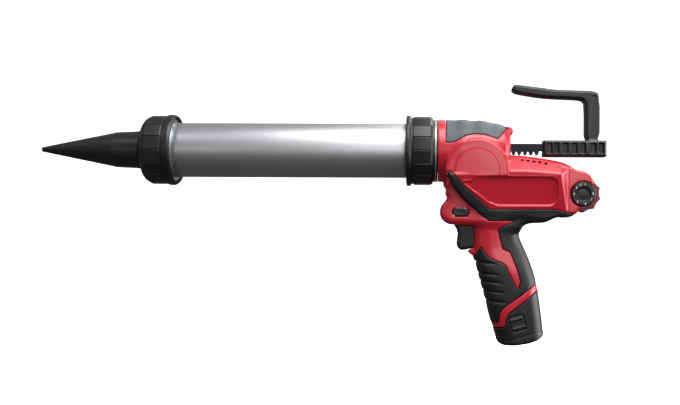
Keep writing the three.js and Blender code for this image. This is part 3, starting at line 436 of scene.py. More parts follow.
def ribbed(name, node, section, start, end):
    """A collar whose flats run from start to end."""
    angles = flat_angles()
    turned(name, section, BLACK, node, [node], "black", swell=flats(start, end), angles=angles, bevel=0.3)


low, high = span("front_collar")
COLLAR_R = high.z - 1.0
HOLE = MOUTH + 0.4
front = [
    (-295.2, HOLE), (-295.2, HOLE + 1.2), (-293.4, 23.2), (-291.2, 28.6), (-288.8, 31.8),
    (-285.4, COLLAR_R - 0.3),
    (-284, COLLAR_R), (-270.5, COLLAR_R), (-269.9, COLLAR_R - 1.0), (-268.6, COLLAR_R - 1.0),
    (-268.2, COLLAR_R + 0.5), (-267, COLLAR_R + 0.9), (-262.6, COLLAR_R + 0.9), (high.x, COLLAR_R - 0.7),
    (high.x, 32.4), (-262.3, 31.6), (-285, 31.6), (-285, TUBE_R + 0.3), (-290.9, TUBE_R + 0.3),
    (-290.9, HOLE),
]
ribbed("collar_front", "front_collar", front, -294, -270.5)

low, high = span("rear_collar")
rear = [
    (low.x, TUBE_R + 0.4), (low.x, COLLAR_R), (low.x + 0.8, COLLAR_R + 0.95),
    (low.x + 3.4, COLLAR_R + 0.95),
    (low.x + 4.2, COLLAR_R + 0.2), (low.x + 5.2, COLLAR_R - 1.2), (low.x + 6.6, COLLAR_R - 1.2),
    (low.x + 7.4, COLLAR_R),
    (high.x - 2.2, COLLAR_R), (high.x, COLLAR_R - 1.6), (high.x, 31.6), (low.x + 4.8, 31.6),
    (low.x + 4.8, TUBE_R + 0.4),
]
ribbed("collar_rear", "rear_collar", rear, low.x + 7.3, high.x)
print("collar radius", round(COLLAR_R, 1), "mm with", FLATS, "flats")

# %% [markdown]
# ## Neck
# The barrel turns on a short neck. It is black, with one thin bright ring let into it.

# %% Neck and trim ring
low, high = span("nose_adapter")
NECK_R = 30.9
trim_low, trim_high = span("adapter_trim_ring")
neck = [
    (low.x, TUBE_R + 0.5), (low.x, NECK_R), (trim_low.x - 0.1, NECK_R),
    (trim_low.x - 0.1, NECK_R - 1.8), (trim_high.x + 0.1, NECK_R - 1.8),
    (trim_high.x + 0.1, NECK_R), (-0.5, NECK_R), (-0.5, 22), (high.x, 22), (high.x, 16), (-5.4, 16),
    (-5.4, TUBE_R + 0.5),
]
turned("neck", neck, BLACK, "swivel", ["nose_adapter"], "black", bevel=0.15)
trim = [
    (trim_low.x, NECK_R - 1.5), (trim_low.x, NECK_R + 0.15), (trim_high.x, NECK_R + 0.15),
    (trim_high.x, NECK_R - 1.5),
]
turned("neck_ring", trim, ALUMINIUM, "swivel", ["adapter_trim_ring"], "aluminium", bevel=0.2)
print("neck radius", NECK_R, "mm")

# %% [markdown]
# ## Shapes as distances
# The housing, grip and handle flow into each other, and no lathe or box makes that. They are
# modelled the way clay is: each lump is a field that says how far any point is from its surface,
# negative inside. Two fields join with the smaller value, and a rounded minimum gives the fillet.
# The surface where the sum is zero becomes the mesh.

# %% Fields
def join(a, b, r):
    """The union of two fields, with a fillet of about r."""
    h = np.maximum(r - np.abs(a - b), 0) / r
    return np.minimum(a, b) - h * h * r / 4


def meet(a, b, r):
    """What is inside both, with its edge rounded by r."""
    return -join(-a, -b, r)


def cut(a, b, r):
    """a without b."""
    return meet(a, -b, r)


def step(value, start, end):
    """0 before start, 1 after end, and smooth between."""
    t = np.clip((value - start) / (end - start), 0, 1)
    return t * t * (3 - 2 * t)


def soften(outline, rounds=2):
    """Cuts the corners of a closed outline, so that it turns smoothly."""
    line = np.asarray(outline, float)
    for _ in range(rounds):
        after = np.roll(line, -1, axis=0)
        line = np.stack([line * 0.75 + after * 0.25, line * 0.25 + after * 0.75], 1).reshape(-1, 2)
    return line


def inside(outline, u, v):
    """The distance of (u, v) from a closed outline, negative inside it."""
    u, v = np.broadcast_arrays(u, v)
    best, odd = np.full(u.shape, 1e9), np.zeros(u.shape, bool)
    for (a, b), (c, d) in zip(outline, np.roll(outline, -1, axis=0)):
        du, dv, pu, pv = c - a, d - b, u - a, v - b
        t = np.clip((pu * du + pv * dv) / (du * du + dv * dv), 0, 1)
        best = np.minimum(best, (pu - t * du) ** 2 + (pv - t * dv) ** 2)
        if dv:
            odd ^= ((b > v) != (d > v)) & (pu < pv * du / dv)
    return (np.where(odd, -1, 1) * np.sqrt(best)).astype(np.float32)


def slab(flat, thick, edge):
    """A plate from the distance to its outline and to its sides, with rounded edges."""
    a, b = flat + edge, thick + edge
    return np.minimum(np.maximum(a, b), 0) + np.hypot(np.maximum(a, 0), np.maximum(b, 0)) - edge


# %% [markdown]
# ## A block of clay
# A field is worked out on an even grid. The grid's three axes are kept as thin arrays that spread
# against each other, so a shape drawn in side view costs one layer, not the whole block.

# %% The grid and its surface
class Clay:
    def __init__(self, low, high, size):
        self.low, self.size = np.array(low, float), size
        steps = [np.arange(a, b + size, size, dtype=np.float32) for a, b in zip(low, high)]
        self.x, self.y, self.z = steps[0][:, None, None], steps[1][None, :, None], steps[2][None, None, :]
        self.shape = tuple(len(s) for s in steps)

    def cast(self, name, field, finish, body, nodes, slot, mirrored=False, keep=0.3):
        """The surface of a field as a piece. keep is the share of its faces that stay."""
        grid = openvdb.FloatGrid(9.0)
        grid.copyFromArray(np.array(np.broadcast_to(field, self.shape), dtype=np.float32, order="C"))
        points, quads = grid.convertToQuads(0.0)
        points = points * self.size + self.low
        if mirrored:
            points[:, 1] *= -1
        piece = place(name, points, quads, finish, body, nodes, slot, 50)
        smooth = piece.modifiers.new("smooth", "SMOOTH")
        smooth.factor, smooth.iterations = 0.5, 2
        if keep < 1:
            fewer = piece.modifiers.new("fewer", "DECIMATE")
            fewer.ratio = keep
        bake(piece)
        piece.data.set_sharp_from_angle(angle=math.radians(50))
        return piece


GRAIN = 0.6
print("clay is worked at", GRAIN, "mm")

# %% [markdown]
# ## The housing, lump by lump
# One half is enough, because the other mirrors it. The nose is round and carries the barrel. The
# boss hides the big gear. The bulge is the motor's room: its side leans in towards the bottom and
# the back, its shoulder slopes, and it ends in a slanted facet before the dial.

# %% Side outlines of the housing
NOSE_TOP = [
    (0, 30.9), (12, 30.9), (24, 31.3), (30, 30.8), (36, 30.3), (42, 30.5), (48, 30), (54, 28.2),
    (60, 27.2), (66, 25), (71, 20),
]
BULGE = [
    (9.4, -23.1), (13.1, -32.8), (19.9, -42.1), (28.1, -50.6), (39.3, -61.4), (44.9, -64.8),
    (60, -65.5), (120, -65.2),
    (131, -64.8), (137, -60), (139, -48), (139, -30), (136.5, -19), (132, -15.4), (126, -12),
    (120, -10.3), (114, -9.1),
    (102, -7.1), (90, -5.4), (78, -4.4), (60, -4.2), (20, -6),
]
FRONT_BODY = [
    (6.3, -20), (5.6, -31.4), (4.9, -34.5), (8.2, -38.2), (6.9, -42.4), (9.3, -46.8), (6.1, -51.4),
    (2.6, -55.4), (1.8, -61),
    (2.2, -65), (4.2, -68.4), (7.6, -71.4), (13, -73.3), (36, -73.8), (62, -75), (72, -60), (60, -20),
]
HUMP = [
    (56, -60), (118, -62), (114, -65.8), (108, -69.8), (102, -71), (90, -71.2), (84, -74), (80, -80),
    (56, -80),
]
LIP = [
    (44, -93), (36.5, -92), (31.5, -97.6), (29.6, -99.8), (32, -102.2), (35.4, -104.6), (37, -109),
    (46, -112),
]
GRIP = [
    (40, -40), (32.6, -74), (34.2, -84), (34, -92), (36.2, -104), (38.2, -113), (39.9, -120),
    (42, -128), (44.4, -136), (46.7, -144),
    (48.8, -152), (50.4, -160), (52.8, -168), (55.4, -176), (57.9, -184), (66, -215), (112, -215),
    (106, -184), (104.4, -176),
    (103.4, -165), (102.2, -157), (100.9, -148), (99.6, -139), (97.8, -131), (95.9, -123),
    (93.2, -115), (90.2, -107),
    (86.8, -99), (83.2, -91.4), (80.6, -85), (80.2, -80), (82, -74), (90, -40),
]
COWL = [
    (118, -12), (130, -15.4), (138, -19.2), (144, -20), (149, -23), (152, -26.8), (153.4, -30.6),
    (152.4, -34), (153.8, -39),
    (153.8, -45), (151.8, -50.4), (148, -54.2), (143, -56.4), (139.6, -57), (138, -60.6), (132, -64.8),
    (118, -65.5),
]
DIAL = (143.0, -42.6)
BOSS = (38.0, -20.0)
print("outlines:", len(BULGE) + len(GRIP) + len(FRONT_BODY), "points")

# %% Build the half body as a field
clay = Clay((-2.4, -35.4, -178), (162, 1.5, 34), GRAIN)
x, y, z = clay.x, clay.y, clay.z
side = np.abs(y)

tops = np.array(NOSE_TOP)
nose_r = np.interp(x[:, 0, 0], tops[:, 0], tops[:, 1])[:, None, None]
finger_dips = 0.55 * (1 - np.cos((x - 8) * 2 * math.pi / 17)) * step(x, 7, 9)
finger_dips = finger_dips * (1 - step(x, 56, 60)) * step(z, 8, 20)
nose = meet(meet(np.hypot(y, z) - nose_r + 0.5 * finger_dips, x - 71.3, 2.0), -x - 0.35, 0.6)
NUB = [(66, 23.6), (70.6, 23.8), (73.4, 21.8), (74.2, 18.4), (72.4, 15.6), (70.6, 13), (64, 13)]
nub = slab(inside(soften(NUB, 1), x, z), side - 14.0, 1.2)
nose = join(nose, nub, 1.0)
nose = meet(nose, -z - 31.5, 1.0)

boss_r = np.hypot(x - BOSS[0], z - BOSS[1])
boss_face = 33.0 - np.clip((-28.0 - z) * 0.34, 0, 12)
chamfer = boss_r * 0.62 + side - boss_face - 26.6 * 0.62
boss = meet(slab(boss_r - 31.0, side - boss_face + 1.6, 1.6), chamfer, 0.8)
boss = meet(boss - 0.5 * (1 - step(boss_r, 20.5, 22.5)), -25.0 - z, 1.0)

panel_half = 31.2 - 0.075 * (x - 41) - 0.22 * (-26.2 - z)
SHOULDER_X = [72, 84, 96, 108, 120, 130, 140]
SHOULDER_Z = [-4, -4.8, -6.2, -8.1, -10.3, -14.5, -22]
top_line = np.interp(x[:, 0, 0], SHOULDER_X, SHOULDER_Z)[:, None, None]
slope_half = 11.5 + (top_line - z) * 1.12
rear_half = 24.0 - 1.25 * (x - 121.5)
bulge_half = join(join(panel_half, slope_half, 2.2), rear_half, 1.6)
bulge = slab(inside(soften(BULGE, 1), x, z), side - bulge_half, 2.6)

front_body = slab(inside(soften(FRONT_BODY, 1), x, z), side - 21.6, 6.0)
hump = slab(inside(soften(HUMP, 1), x, z), side - 18.5, 6.0)
lip = slab(inside(soften(LIP, 1), x, z), side - 10.5, 3.0)
cowl = slab(inside(soften(COWL, 1), x, z), side - 16.0, 3.0)

REACH = 21.0


def oval(outline, x, y, z, half):
    """A grip: the section is an oval as deep as the outline and 2 x half wide."""
    across = np.clip((inside(outline, x, z) + REACH) / REACH, 0, None)
    return ((across ** 2.6 + (np.abs(y) / half) ** 2.6) ** (1 / 2.6) - 1) * REACH


grip_half = 19.2 + 2.6 * step(-z, 92, 122)
grip = meet(oval(soften(GRIP, 2), x, y, z, grip_half), -z - 178, 1.0)
body = join(join(nose, boss, 1.6), bulge, 1.5)
body = join(body, front_body, 2.5)
body = join(join(body, hump, 4.0), cowl, 2.0)
body = join(join(body, grip, 5.0), lip, 2.0)
print("half body:", body.shape, "cells")

# %% [markdown]
# ## Relief on the side
# The side panel is let into the bulge, with a rounded outline and three small ledges beside the
# bumper. Vents sit in the shoulder. Relief is a depth in side view that is added to the field, so
# it follows whatever surface lies there.

# %% Panel, ledges and vents
PANEL = [
    (36.6, -26.6), (40, -26.2), (109, -26.2), (114.4, -27.4), (117.2, -31), (117.6, -44), (116.4, -49),
    (114, -52.6), (110, -54.2),
    (58, -54.2), (50, -51), (24, -32), (24.6, -31), (32.6, -31),
]
panel = inside(np.asarray(PANEL, float), x, z)
relief = 1.5 * step(-panel, -0.1, 1.1) * (0.5 + 0.5 * step(x, 46, 62))
rim = 0.35 * np.exp(-(((panel - 0.9) / 0.8) ** 2))
ledges = 0
for top, left in [(-38.0, 26.5), (-49.0, 41.0)]:
    band = step(top - z, 0.0, 1.0) * (1 - step(top - z, 1.0, 9.0))
    ledges = ledges + 0.7 * band * step(x - left, -1, 1) * (1 - step(x - left, 7, 12))
relief = relief + ledges * (panel < 0) - rim
body = body + relief * step(side, 15, 19)
for vent in (82.5, 88, 94, 100, 106):
    slot_top = np.interp(vent, SHOULDER_X, SHOULDER_Z) - 4.6
    slot = slab(np.maximum(np.abs(x - vent) - 1.3, np.abs(z - slot_top) - 0.9), 8 - side, 0.3)
    body = cut(body, slot, 0.4)
print("panel, ledges and five vents cut")

# %% [markdown]
# ## Overmoulded pads
# Soft rubber is moulded over the shells in three places: under the hand on top, as a bumper along
# the side, and round the grip. A pad is the skin of the body inside an outline. It stands 0.3 mm
# proud with a rolled edge, and the shell has a bed for it with a thin dark gap all round.

# %% Pad outlines
TOP_PAD = [
    (7.7, 6.5), (15.2, 7.3), (19.5, 9.6), (27, 14.1), (35.6, 16), (45, 15.3), (52.4, 13.1), (58, 10.9),
    (68.6, 23), (68.6, 45), (7.7, 45),
]
BUMPER = [
    (9.0, -21.6), (13.1, -32.8), (19.9, -42.1), (28.1, -50.6), (39.3, -61.4), (44.6, -65.4), (50, -69),
    (124, -69), (134.6, -66),
    (133.4, -62), (115, -58), (52, -58), (48.6, -56.6), (39.3, -47.6), (32.6, -41.3), (26.2, -36.5),
    (22.8, -31.2), (16.9, -25.3), (12, -20.6),
]
GRIP_PAD = [
    (26, -112), (36, -104.4), (38.6, -101.2), (42.4, -95.4), (50.4, -105.3), (66.1, -112.4),
    (71.7, -124.2), (78, -136.8), (81.1, -129.8),
    (78, -117.2), (73.8, -106.6), (71.6, -100.3), (63.8, -96.8), (60.8, -86), (59.2, -77.6),
    (64, -74.6), (73, -70.4), (77, -66.6),
    (122, -66.4), (122, -119), (97.2, -131.1), (65.3, -153.7), (61.1, -159.3), (59.7, -168.9), (30, -172),
]
END_LINE = [
    (122, -119.6), (98.3, -137.4), (70.2, -159.3), (67.4, -163.5), (66, -172.6), (57, -174.6),
    (30, -179),
]
BELOW_END = [*END_LINE, (30, -240), (122, -240)]
THICK, PROUD, GAP = 1.5, 0.3, 0.35
pads = {
    # The top pad takes the paler rubber, painted light on its upward-facing top.
    "hand_pad": ("top_pad", TOP_PAD, RUBBER_WITH_PAINTED_LIGHT, "overmould_grey"),
    "bumper_strip": ("bumper", BUMPER, RUBBER, "overmould_black"),
    "grip_cover": ("grip_pad", GRIP_PAD, RUBBER, "overmould_black"),
}

# %% [markdown]
# ## Finger grooves
# The front of the grip has five grooves that run back about 20 mm and fade out, so the fingers find
# their place. They are carved before the pads are taken off, and the pads carry them.

# %% Grooves, openings and the hollow
front_edge = np.interp(-z[0, 0], [104, 120, 136, 152, 172], [36.6, 39.9, 44.4, 48.8, 54])[None, None, :]
grooves = 0
for height in (-110.6, -121.2, -129.0, -138.4, -148.0):
    grooves = grooves + np.exp(-(((z - height + 0.06 * (x - 45)) / 1.15) ** 2))
body = body + 1.15 * grooves * (1 - step(x - front_edge, 13, 22))
hollow = body + 3.2
end = inside(np.array(BELOW_END, float), x, z)
MOUTH_HALF, SLOT_R = 9.5, 19.0
ROOM = [(14, -70.8), (47.5, -70.8), (47.5, -96.3), (36, -98.4), (14, -99.6)]
trigger_room = slab(inside(np.array(ROOM), x, z), side - MOUTH_HALF, 1.0)
dial_r = np.hypot(x - DIAL[0], z - DIAL[1])
openings = [
    np.maximum(np.hypot(y, z) - 22.3, x - 5),
    slab(np.maximum(np.abs(z - 1.75) - 6.3, 60 - x), side - 6.1, 0.6),
    trigger_room,
    np.maximum(dial_r - 12.75, 9 - side),
    np.maximum(dial_r - SLOT_R, side - 11.4),
    np.maximum(slab(np.abs(x - 22.3) - 8.2, np.abs(z + 60.8) - 4.2, 3.8), 14 - side),
    end,
]
print("openings:", len(openings))

# %% [markdown]
# ## Two halves and their pads
# The halves meet at the middle with a fine seam. The right half is the mirror of the left, with
# five wells for the screws that hold the two together.

# %% Cast the shells and the pads
SCREW_AT = [(62, 18), (13, -47), (44, -69.5), (127.5, -24), (50, -105)]
WELL_R, WELL_FLOOR, POST_R = 3.7, 13, 5.2


def round_screws(radius):
    """The distance from five round columns, one at each screw."""
    return np.minimum.reduce([np.hypot(x - u, z - w) - radius for u, w in SCREW_AT]) + 0 * y


def opened(field, r=0.5):
    """A shell or pad with every opening cut, kept to its own side of the seam."""
    for opening in openings:
        field = cut(field, opening, r)
    return meet(field, y + 0.08, 0.5)


shell = body
for outline, *_ in [pad[1:] for pad in pads.values()]:
    shell = cut(shell, meet(inside(np.array(outline, float), x, z) - GAP, -(body + THICK + 0.3), 0.2), 0.3)
shell = opened(np.maximum(shell, -hollow))
wells = np.maximum(round_screws(WELL_R), WELL_FLOOR - side)
right = cut(shell, wells, 0.4)
posts = slab(round_screws(POST_R), np.maximum(side - 16.5, 1 - side), 0.4)
right = opened(join(right, np.maximum(np.maximum(posts, body + 1), -wells), 0.4))
clay.cast("shell_left", shell, RED, "housing", ["housing_left"], "red")
clay.cast("shell_right", right, RED, "housing", ["housing_right"], "red", mirrored=True)
for name, (node, outline, finish, slot) in pads.items():
    flat = inside(np.array(outline, float), x, z)
    pad = meet(meet(body - PROUD, flat, 0.8), -(body + THICK), 0.3)
    pad = opened(pad)
    clay.cast(name + "_left", pad, finish, "housing", [node + "_left"], slot)
    pad = cut(pad, wells, 0.3)
    clay.cast(name + "_right", pad, finish, "housing", [node + "_right"], slot, mirrored=True)
print("shell faces:", [len(p.data.polygons) for p in PIECES if p.name.startswith("shell")])

# %% [markdown]
# ## Battery
# The battery closes the bottom of the grip and follows its oval. A stem goes up inside the grip,
# the foot is what shows, and a latch on each side holds it.

# %% Cast the battery
LEAN = math.radians(15.5)
GRIP_AT = (73.2, -143.2)
clay = Clay((44, -24, -194.5), (108, 24, -106), GRAIN)
x, y, z = clay.x, clay.y, clay.z
side = np.abs(y)
along = (x - GRIP_AT[0]) * math.sin(LEAN) - (z - GRIP_AT[1]) * math.cos(LEAN)
across = (x - GRIP_AT[0]) * math.cos(LEAN) + (z - GRIP_AT[1]) * math.sin(LEAN)
SOLE_X = [58, 66, 78, 90, 98, 106]
SOLE_Z = [-190.2, -191.8, -191.3, -189.3, -186.8, -182.4]
sole = np.interp(x[:, 0, 0], SOLE_X, SOLE_Z)[:, None, None]
grip_all = oval(soften(GRIP, 2), x, y, z, 22.3)
foot = meet(meet(grip_all - 0.2, sole - z, 2.6), inside(np.array(BELOW_END, float), x, z + 0.6), 0.6)
stem = slab(np.maximum(np.abs(across) - 18.6, np.maximum(-24.6 - along, along - 40)), side - 19.6, 7.5)
stem = meet(stem, grip_all + 2.9, 1.0)
battery = join(foot, stem, 0.6)
seam = np.exp(-(((along - 40.5) / 0.6) ** 2)) * 0.3
battery = battery + seam
latch_flat = slab(np.abs(along - 26.5) - 7.5, np.abs(across + 2) - 7.0, 1.8)
pocket = np.maximum(latch_flat - 0.25, 18.2 - side)
battery = cut(battery, pocket, 0.4)
clay.cast("battery_pack", battery, BLACK, "battery", ["battery_case"], "black")

ridges = sum(np.exp(-(((along - at) / 0.7) ** 2)) for at in (22.5, 31)) * (np.abs(across + 2) < 6.6)
latch = slab(latch_flat, np.abs(side - 21.3) - 1.0, 0.5) - 0.9 * np.clip(ridges, 0, 1)
for name, half in [("left", y), ("right", -y)]:
    node = "latch_" + name
    clay.cast("latch_key_" + name, np.maximum(latch, half), MATT_BLACK, node, [node], "black", keep=0.5)
print("battery and latches cast")

# %% [markdown]
# ## Trigger and lock button
# The trigger's front is hollowed for the finger and its edges are well rounded. The lock button is
# an oval bar right through the housing: pushing it from one side blocks the trigger.

# %% Cast the trigger and the button
clay = Clay((12, -11, -104), (44, 11, -68), GRAIN * 0.7)
x, y, z = clay.x, clay.y, clay.z
TRIGGER = [
    (40.4, -71.6), (16, -71.6), (16.4, -74.4), (18.3, -77.2), (19.6, -80.6), (19.8, -83.5),
    (19.2, -87.5), (18.6, -91.5), (19.2, -95.3), (21.4, -98),
    (25, -98.6), (30, -97.6), (40.4, -95.6),
]
trigger = slab(inside(soften(TRIGGER, 1), x, z), np.abs(y) - 8.9, 3.2)
trigger = cut(trigger, np.maximum(np.abs(y) - 5.5, np.maximum(33 - x, np.abs(z + 86) - 7)), 0.5)
clay.cast("trigger_key", trigger, BLACK, "trigger", ["trigger"], "black", keep=0.5)

clay = Clay((12, -23.4, -66.5), (33, 23.4, -55), GRAIN * 0.7)
x, y, z = clay.x, clay.y, clay.z
button = slab(slab(np.abs(x - 22.3) - 7.9, np.abs(z + 60.8) - 3.9, 3.6), np.abs(y) - 22.4, 1.0)
button = button + 0.35 * np.exp(-((np.hypot((x - 22.3) / 1.7, z + 60.8) / 2.0) ** 2)) * (np.abs(y) > 15)
clay.cast("lock_key", button, BLACK, "lock_button", ["lock_button"], "black", keep=0.5)
print("trigger and button cast")

# %% [markdown]
# ## Pull handle
# The handle is a moulded block with a row of pockets that save material, and a hook that a finger
# pulls to bring the rack back. The block grips the end of the rack.

# %% Cast the handle
clay = Clay((70, -13.6, -7), (170, 13.6, 68.5), GRAIN * 0.8)
x, y, z = clay.x, clay.y, clay.z
side = np.abs(y)
HOOK = [
    (146, 6), (160.5, 6), (160.5, 56.6), (154.5, 60.1), (144, 60.5), (126, 60.9), (114, 61.5),
    (102, 63.2), (90, 64.5), (78, 66.2),
    (74.6, 65.4), (72.9, 62.2), (73.4, 59.2), (78, 57.2), (90, 55.2), (102, 53.4), (114, 52.5),
    (126, 52.1), (139, 51.5), (144, 50.4), (146, 46.6),
]
flat = inside(soften(HOOK, 1), x, z)
hook = meet(slab(flat, side - 9.4, 0.8), (flat + side - 9.4 + 2.2) * 0.707, 0.4)
flat = np.maximum(np.abs(x - 135.6) - 31.2, np.abs(z - 2.6) - 8.1)
block = meet(slab(flat, side - 12.0, 0.6), (flat + side - 12.0 + 1.9) * 0.707, 0.3)
handle = join(hook, block, 2.2)
POCKETS = [
    (107.4, 112.6), (114.2, 119.4), (123, 128.6), (131.8, 137.4), (140.6, 145.6), (150.4, 156),
    (158.2, 163.6),
]
for left, right_end in POCKETS:
    width, middle = (right_end - left) / 2, (right_end + left) / 2
    pocket = slab(np.maximum(np.abs(x - middle) - width, np.abs(z - 2.7) - 5.2), 8.0 - side, 0.4)
    handle = cut(handle, pocket, 0.5)
channel = slab(np.maximum(x - 149.8, np.abs(z - 3.85) - 3.85), side - 5.8, 0.2)
handle = cut(handle, channel, 0.3)
WINDOW = [(149.6, 12), (159.4, 12), (159.4, 55), (152.8, 55)]
handle = cut(handle, slab(inside(np.array(WINDOW), x, z), 8.5 - side, 0.4), 0.4)
for at in (114, 138):
    handle = cut(handle, np.maximum(np.hypot(x - at, y) - 3.7, z + 2.8), 0.3)
    handle = cut(handle, np.maximum(np.hypot(x - at, y) - 2.1, z - 1), 0.2)
clay.cast("pull_hook", handle, MATT_BLACK, "plunger", ["pull_handle"], "black")
print("handle cast")

# %% [markdown]
# ## Speed dial
# A thumb wheel sets the speed. Its rim has ten hollows for the thumb, and a disc on each side
# carries the numbers. Rim and hollows are one outline that is swept across the tool.

# %% Wheel
DIAL_R, HOLLOWS, FIRST_CUSP = 18.5, 10, math.radians(20.6)


def between_rings(rings, count):
    """The faces that join rings of count points each, with a cap on the first and the last."""
    faces = [
        (k * count + i, k * count + (i + 1) % count, (k + 1) * count + (i + 1) % count, (k + 1) * count + i)
        for k in range(rings - 1) for i in range(count)
    ]
    last = (rings - 1) * count
    return [*faces, tuple(range(count)), tuple(range(last, last + count))]


def prism(outline, half, edge=0.0):
    """Points and faces of a plate across the tool, with its rim bevelled by edge."""
    outline = np.asarray(outline, float)
    middle, count = outline.mean(axis=0), len(outline)
    inner = middle + (outline - middle) * (1 - edge / np.abs(outline - middle).max())
    levels = [(outline, -half), (outline, half)]
    if edge:
        levels = [(inner, -half), (outline, -half + edge), (outline, half - edge), (inner, half)]
    points = [(u, across, w) for ring, across in levels for u, w in ring]
    return points, between_rings(len(levels), count)


turns = np.arange(240) * 2 * math.pi / 240
share = np.abs((turns - FIRST_CUSP) / (2 * math.pi / HOLLOWS) % 1 - 0.5) * 2
rim_r = DIAL_R - 2.0 * (1 - share ** 2) ** 0.9
wheel = [(DIAL[0] + r * math.cos(t), DIAL[1] + r * math.sin(t)) for t, r in zip(turns, rim_r)]
points, faces = prism(wheel, 10.9, 0.7)
# The wheel carries the darkened red, painted shade on its rim.
place("thumb_wheel", points, faces, RED_WITH_PAINTED_SHADE, "dial", ["speed_dial"], "dark_red", 40)
print("hollows:", HOLLOWS)

# %% [markdown]
# ## Dial faces
# Each face is a black disc with a raised rim, a dished middle and a ring of numbers that runs
# round three quarters of it. The numbers are short text objects turned into mesh, raised 0.15 mm.

# %% Discs and numbers
FACE_TOP = 17.0
disc = [
    (10.95, 0), (10.95, 12.1), (FACE_TOP - 1.2, 12.1), (FACE_TOP - 0.5, 11.7), (FACE_TOP, 11.2),
    (FACE_TOP, 7.4), (FACE_TOP - 0.5, 7.1),
    (FACE_TOP - 1.5, 6.6), (FACE_TOP - 1.7, 6.0), (FACE_TOP - 1.1, 3.0), (FACE_TOP - 1.0, 0),
]
CLOCK = [(1, 12.3), (2, 11.4), (3, 10.4), (4, 9.0), (5, 7.3), (6, 5.6), (7, 4.2), (8, 2.9)]
for name, sense in [("left", -1), ("right", 1)]:
    section = [(sense * along, radius) for along, radius in disc]
    node = ["dial_face_" + name]
    turned("dial_disc_" + name, section, BLACK, "dial", node, "black", sides=72, across=DIAL, bevel=0.15)
    for number, hour in CLOCK:
        turn = math.radians(90 - hour * 30)
        text = bpy.data.curves.new("number", "FONT")
        text.body, text.size, text.extrude = str(number), 0.0034, 0.00012
        text.align_x, text.align_y = "CENTER", "CENTER"
        writing = bpy.data.objects.new("number_%s_%d" % (name, number), text)
        bpy.context.scene.collection.objects.link(writing)
        graph = bpy.context.evaluated_depsgraph_get()
        mesh = bpy.data.meshes.new_from_object(writing.evaluated_get(graph))
        bpy.data.objects.remove(writing)
        flat = np.array([tuple(v.co) for v in mesh.vertices]) * 1000
        right, up = flat[:, 0], flat[:, 1]
        points = np.stack([
            DIAL[0] + 9.4 * math.cos(turn) - sense * right,
            np.full(len(flat), sense * (FACE_TOP - 0.02)) + sense * (flat[:, 2] + 0.12),
            DIAL[1] + 9.4 * math.sin(turn) + up,
        ], 1)
        polygons = [tuple(p.vertices) for p in mesh.polygons]
        place("number_%s_%d" % (name, number), points, polygons, WHITE, "dial", [], "black", 30)
print("numbers:", 2 * len(CLOCK))

# %% [markdown]
# ## Rack
# The rack is a steel bar with teeth along the bottom. One outline in side view, with a flat on
# every tip and a root between, gives them all, and a fine bevel catches the light on each edge.

# %% Toothed bar
low, high = span("rack")
PITCH, ROOT, TIP = 5.75, -0.2, -3.9
first, last = 38 - 37 * PITCH, 38 + 10 * PITCH
TOOTH = [(0.86, ROOT), (0.60, TIP), (0.40, TIP), (0.14, ROOT)]
tops = [(low.x, high.z), (high.x, high.z), (high.x, 0.4), (last + PITCH, 0.4)]
teeth = []
at = last
while at >= first:
    teeth += [(at + PITCH * share, level) for share, level in TOOTH]
    at -= PITCH
points, faces = prism([*tops, *teeth, (low.x, ROOT)], high.y)
place("toothed_rack", points, faces, BLACK_STEEL, "plunger", ["rack"], "dark_steel", 20, bevel=0.18)
print("teeth:", len(teeth) // 4)

# %% [markdown]
# ## Screws
# Five screws hold the halves and two hold the handle. Each has a domed head with a six-lobed
# socket, which is drawn as a star outline that goes down into the head.

# %% Screw heads
LOBES, HEAD_H = 6, 2.0


def screw(name, at, axis, top, length, head_r, head_h, node, body):
    """at is the head's middle. axis is 1 for a screw along Y and 2 for one from below."""
    count = 72
    around = np.arange(count) * 2 * math.pi / count
    star = head_r * (0.40 + 0.075 * np.cos(LOBES * around))
    rings = [
        (star * 0.9, -head_h * 0.62), (star, -head_h * 0.1), (star * 1.08, 0.0),
        (np.full(count, head_r * 0.72), -head_h * 0.05),
        (np.full(count, head_r * 0.95), -head_h * 0.25), (np.full(count, head_r), -head_h * 0.55),
        (np.full(count, head_r), -head_h),
        (np.full(count, head_r * 0.5), -head_h), (np.full(count, head_r * 0.5), -length),
    ]
    points = []
    for radius, depth in rings:
        for r, t in zip(radius, around):
            u, v = at[0] + r * math.cos(t), at[1] + r * math.sin(t)
            points.append((u, top + depth, v) if axis == 1 else (u, v, top - depth))
    finish, slot = (STEEL, "steel") if axis == 1 else (BLACK_STEEL, "dark_steel")
    place(name, points, between_rings(len(rings), count), finish, body, [node], slot, 40)


for index, (u, w) in enumerate(SCREW_AT, 1):
    low, high = span("housing_screw_%d" % index)
    node, head_r = "housing_screw_%d" % index, (high.z - low.z) / 2
    screw("shell_screw_%d" % index, (u, w), 1, high.y, high.y - low.y, head_r, HEAD_H, node, "housing")
for end_name, u in [("front", 114), ("rear", 138)]:
    low, high = span("handle_screw_" + end_name)
    node, head_r = "handle_screw_" + end_name, (high.x - low.x) / 2
    screw("hook_screw_" + end_name, (u, 0), 2, low.z, high.z - low.z, head_r, HEAD_H, node, "plunger")
print("screws placed")

# %% [markdown]
# ## The model's own parts
# The gears, shafts, motor, board, cells and pistons are already the right shape. They keep their
# mesh and only get a finish.

# %% Finishes for what stays
STAYS = {
    # The model's dark red parts take the darkened red, painted shade.
    "red": RED, "dark_red": RED_WITH_PAINTED_SHADE, "black": BLACK,
    # The model's grey overmould parts take the paler rubber, painted light.
    "overmould_black": RUBBER, "overmould_grey": RUBBER_WITH_PAINTED_LIGHT,
    "aluminium": ALUMINIUM, "steel": STEEL, "dark_steel": BLACK_STEEL, "bronze": BRONZE,
    "board": BOARD, "cell": CELL_WRAP,
}
for node in frame["nodes"].values():
    for material_slot in node.material_slots:
        material_slot.material = STAYS[material_slot.material.name.split(".")[0]]
print("nodes with finishes:", len(frame["nodes"]))

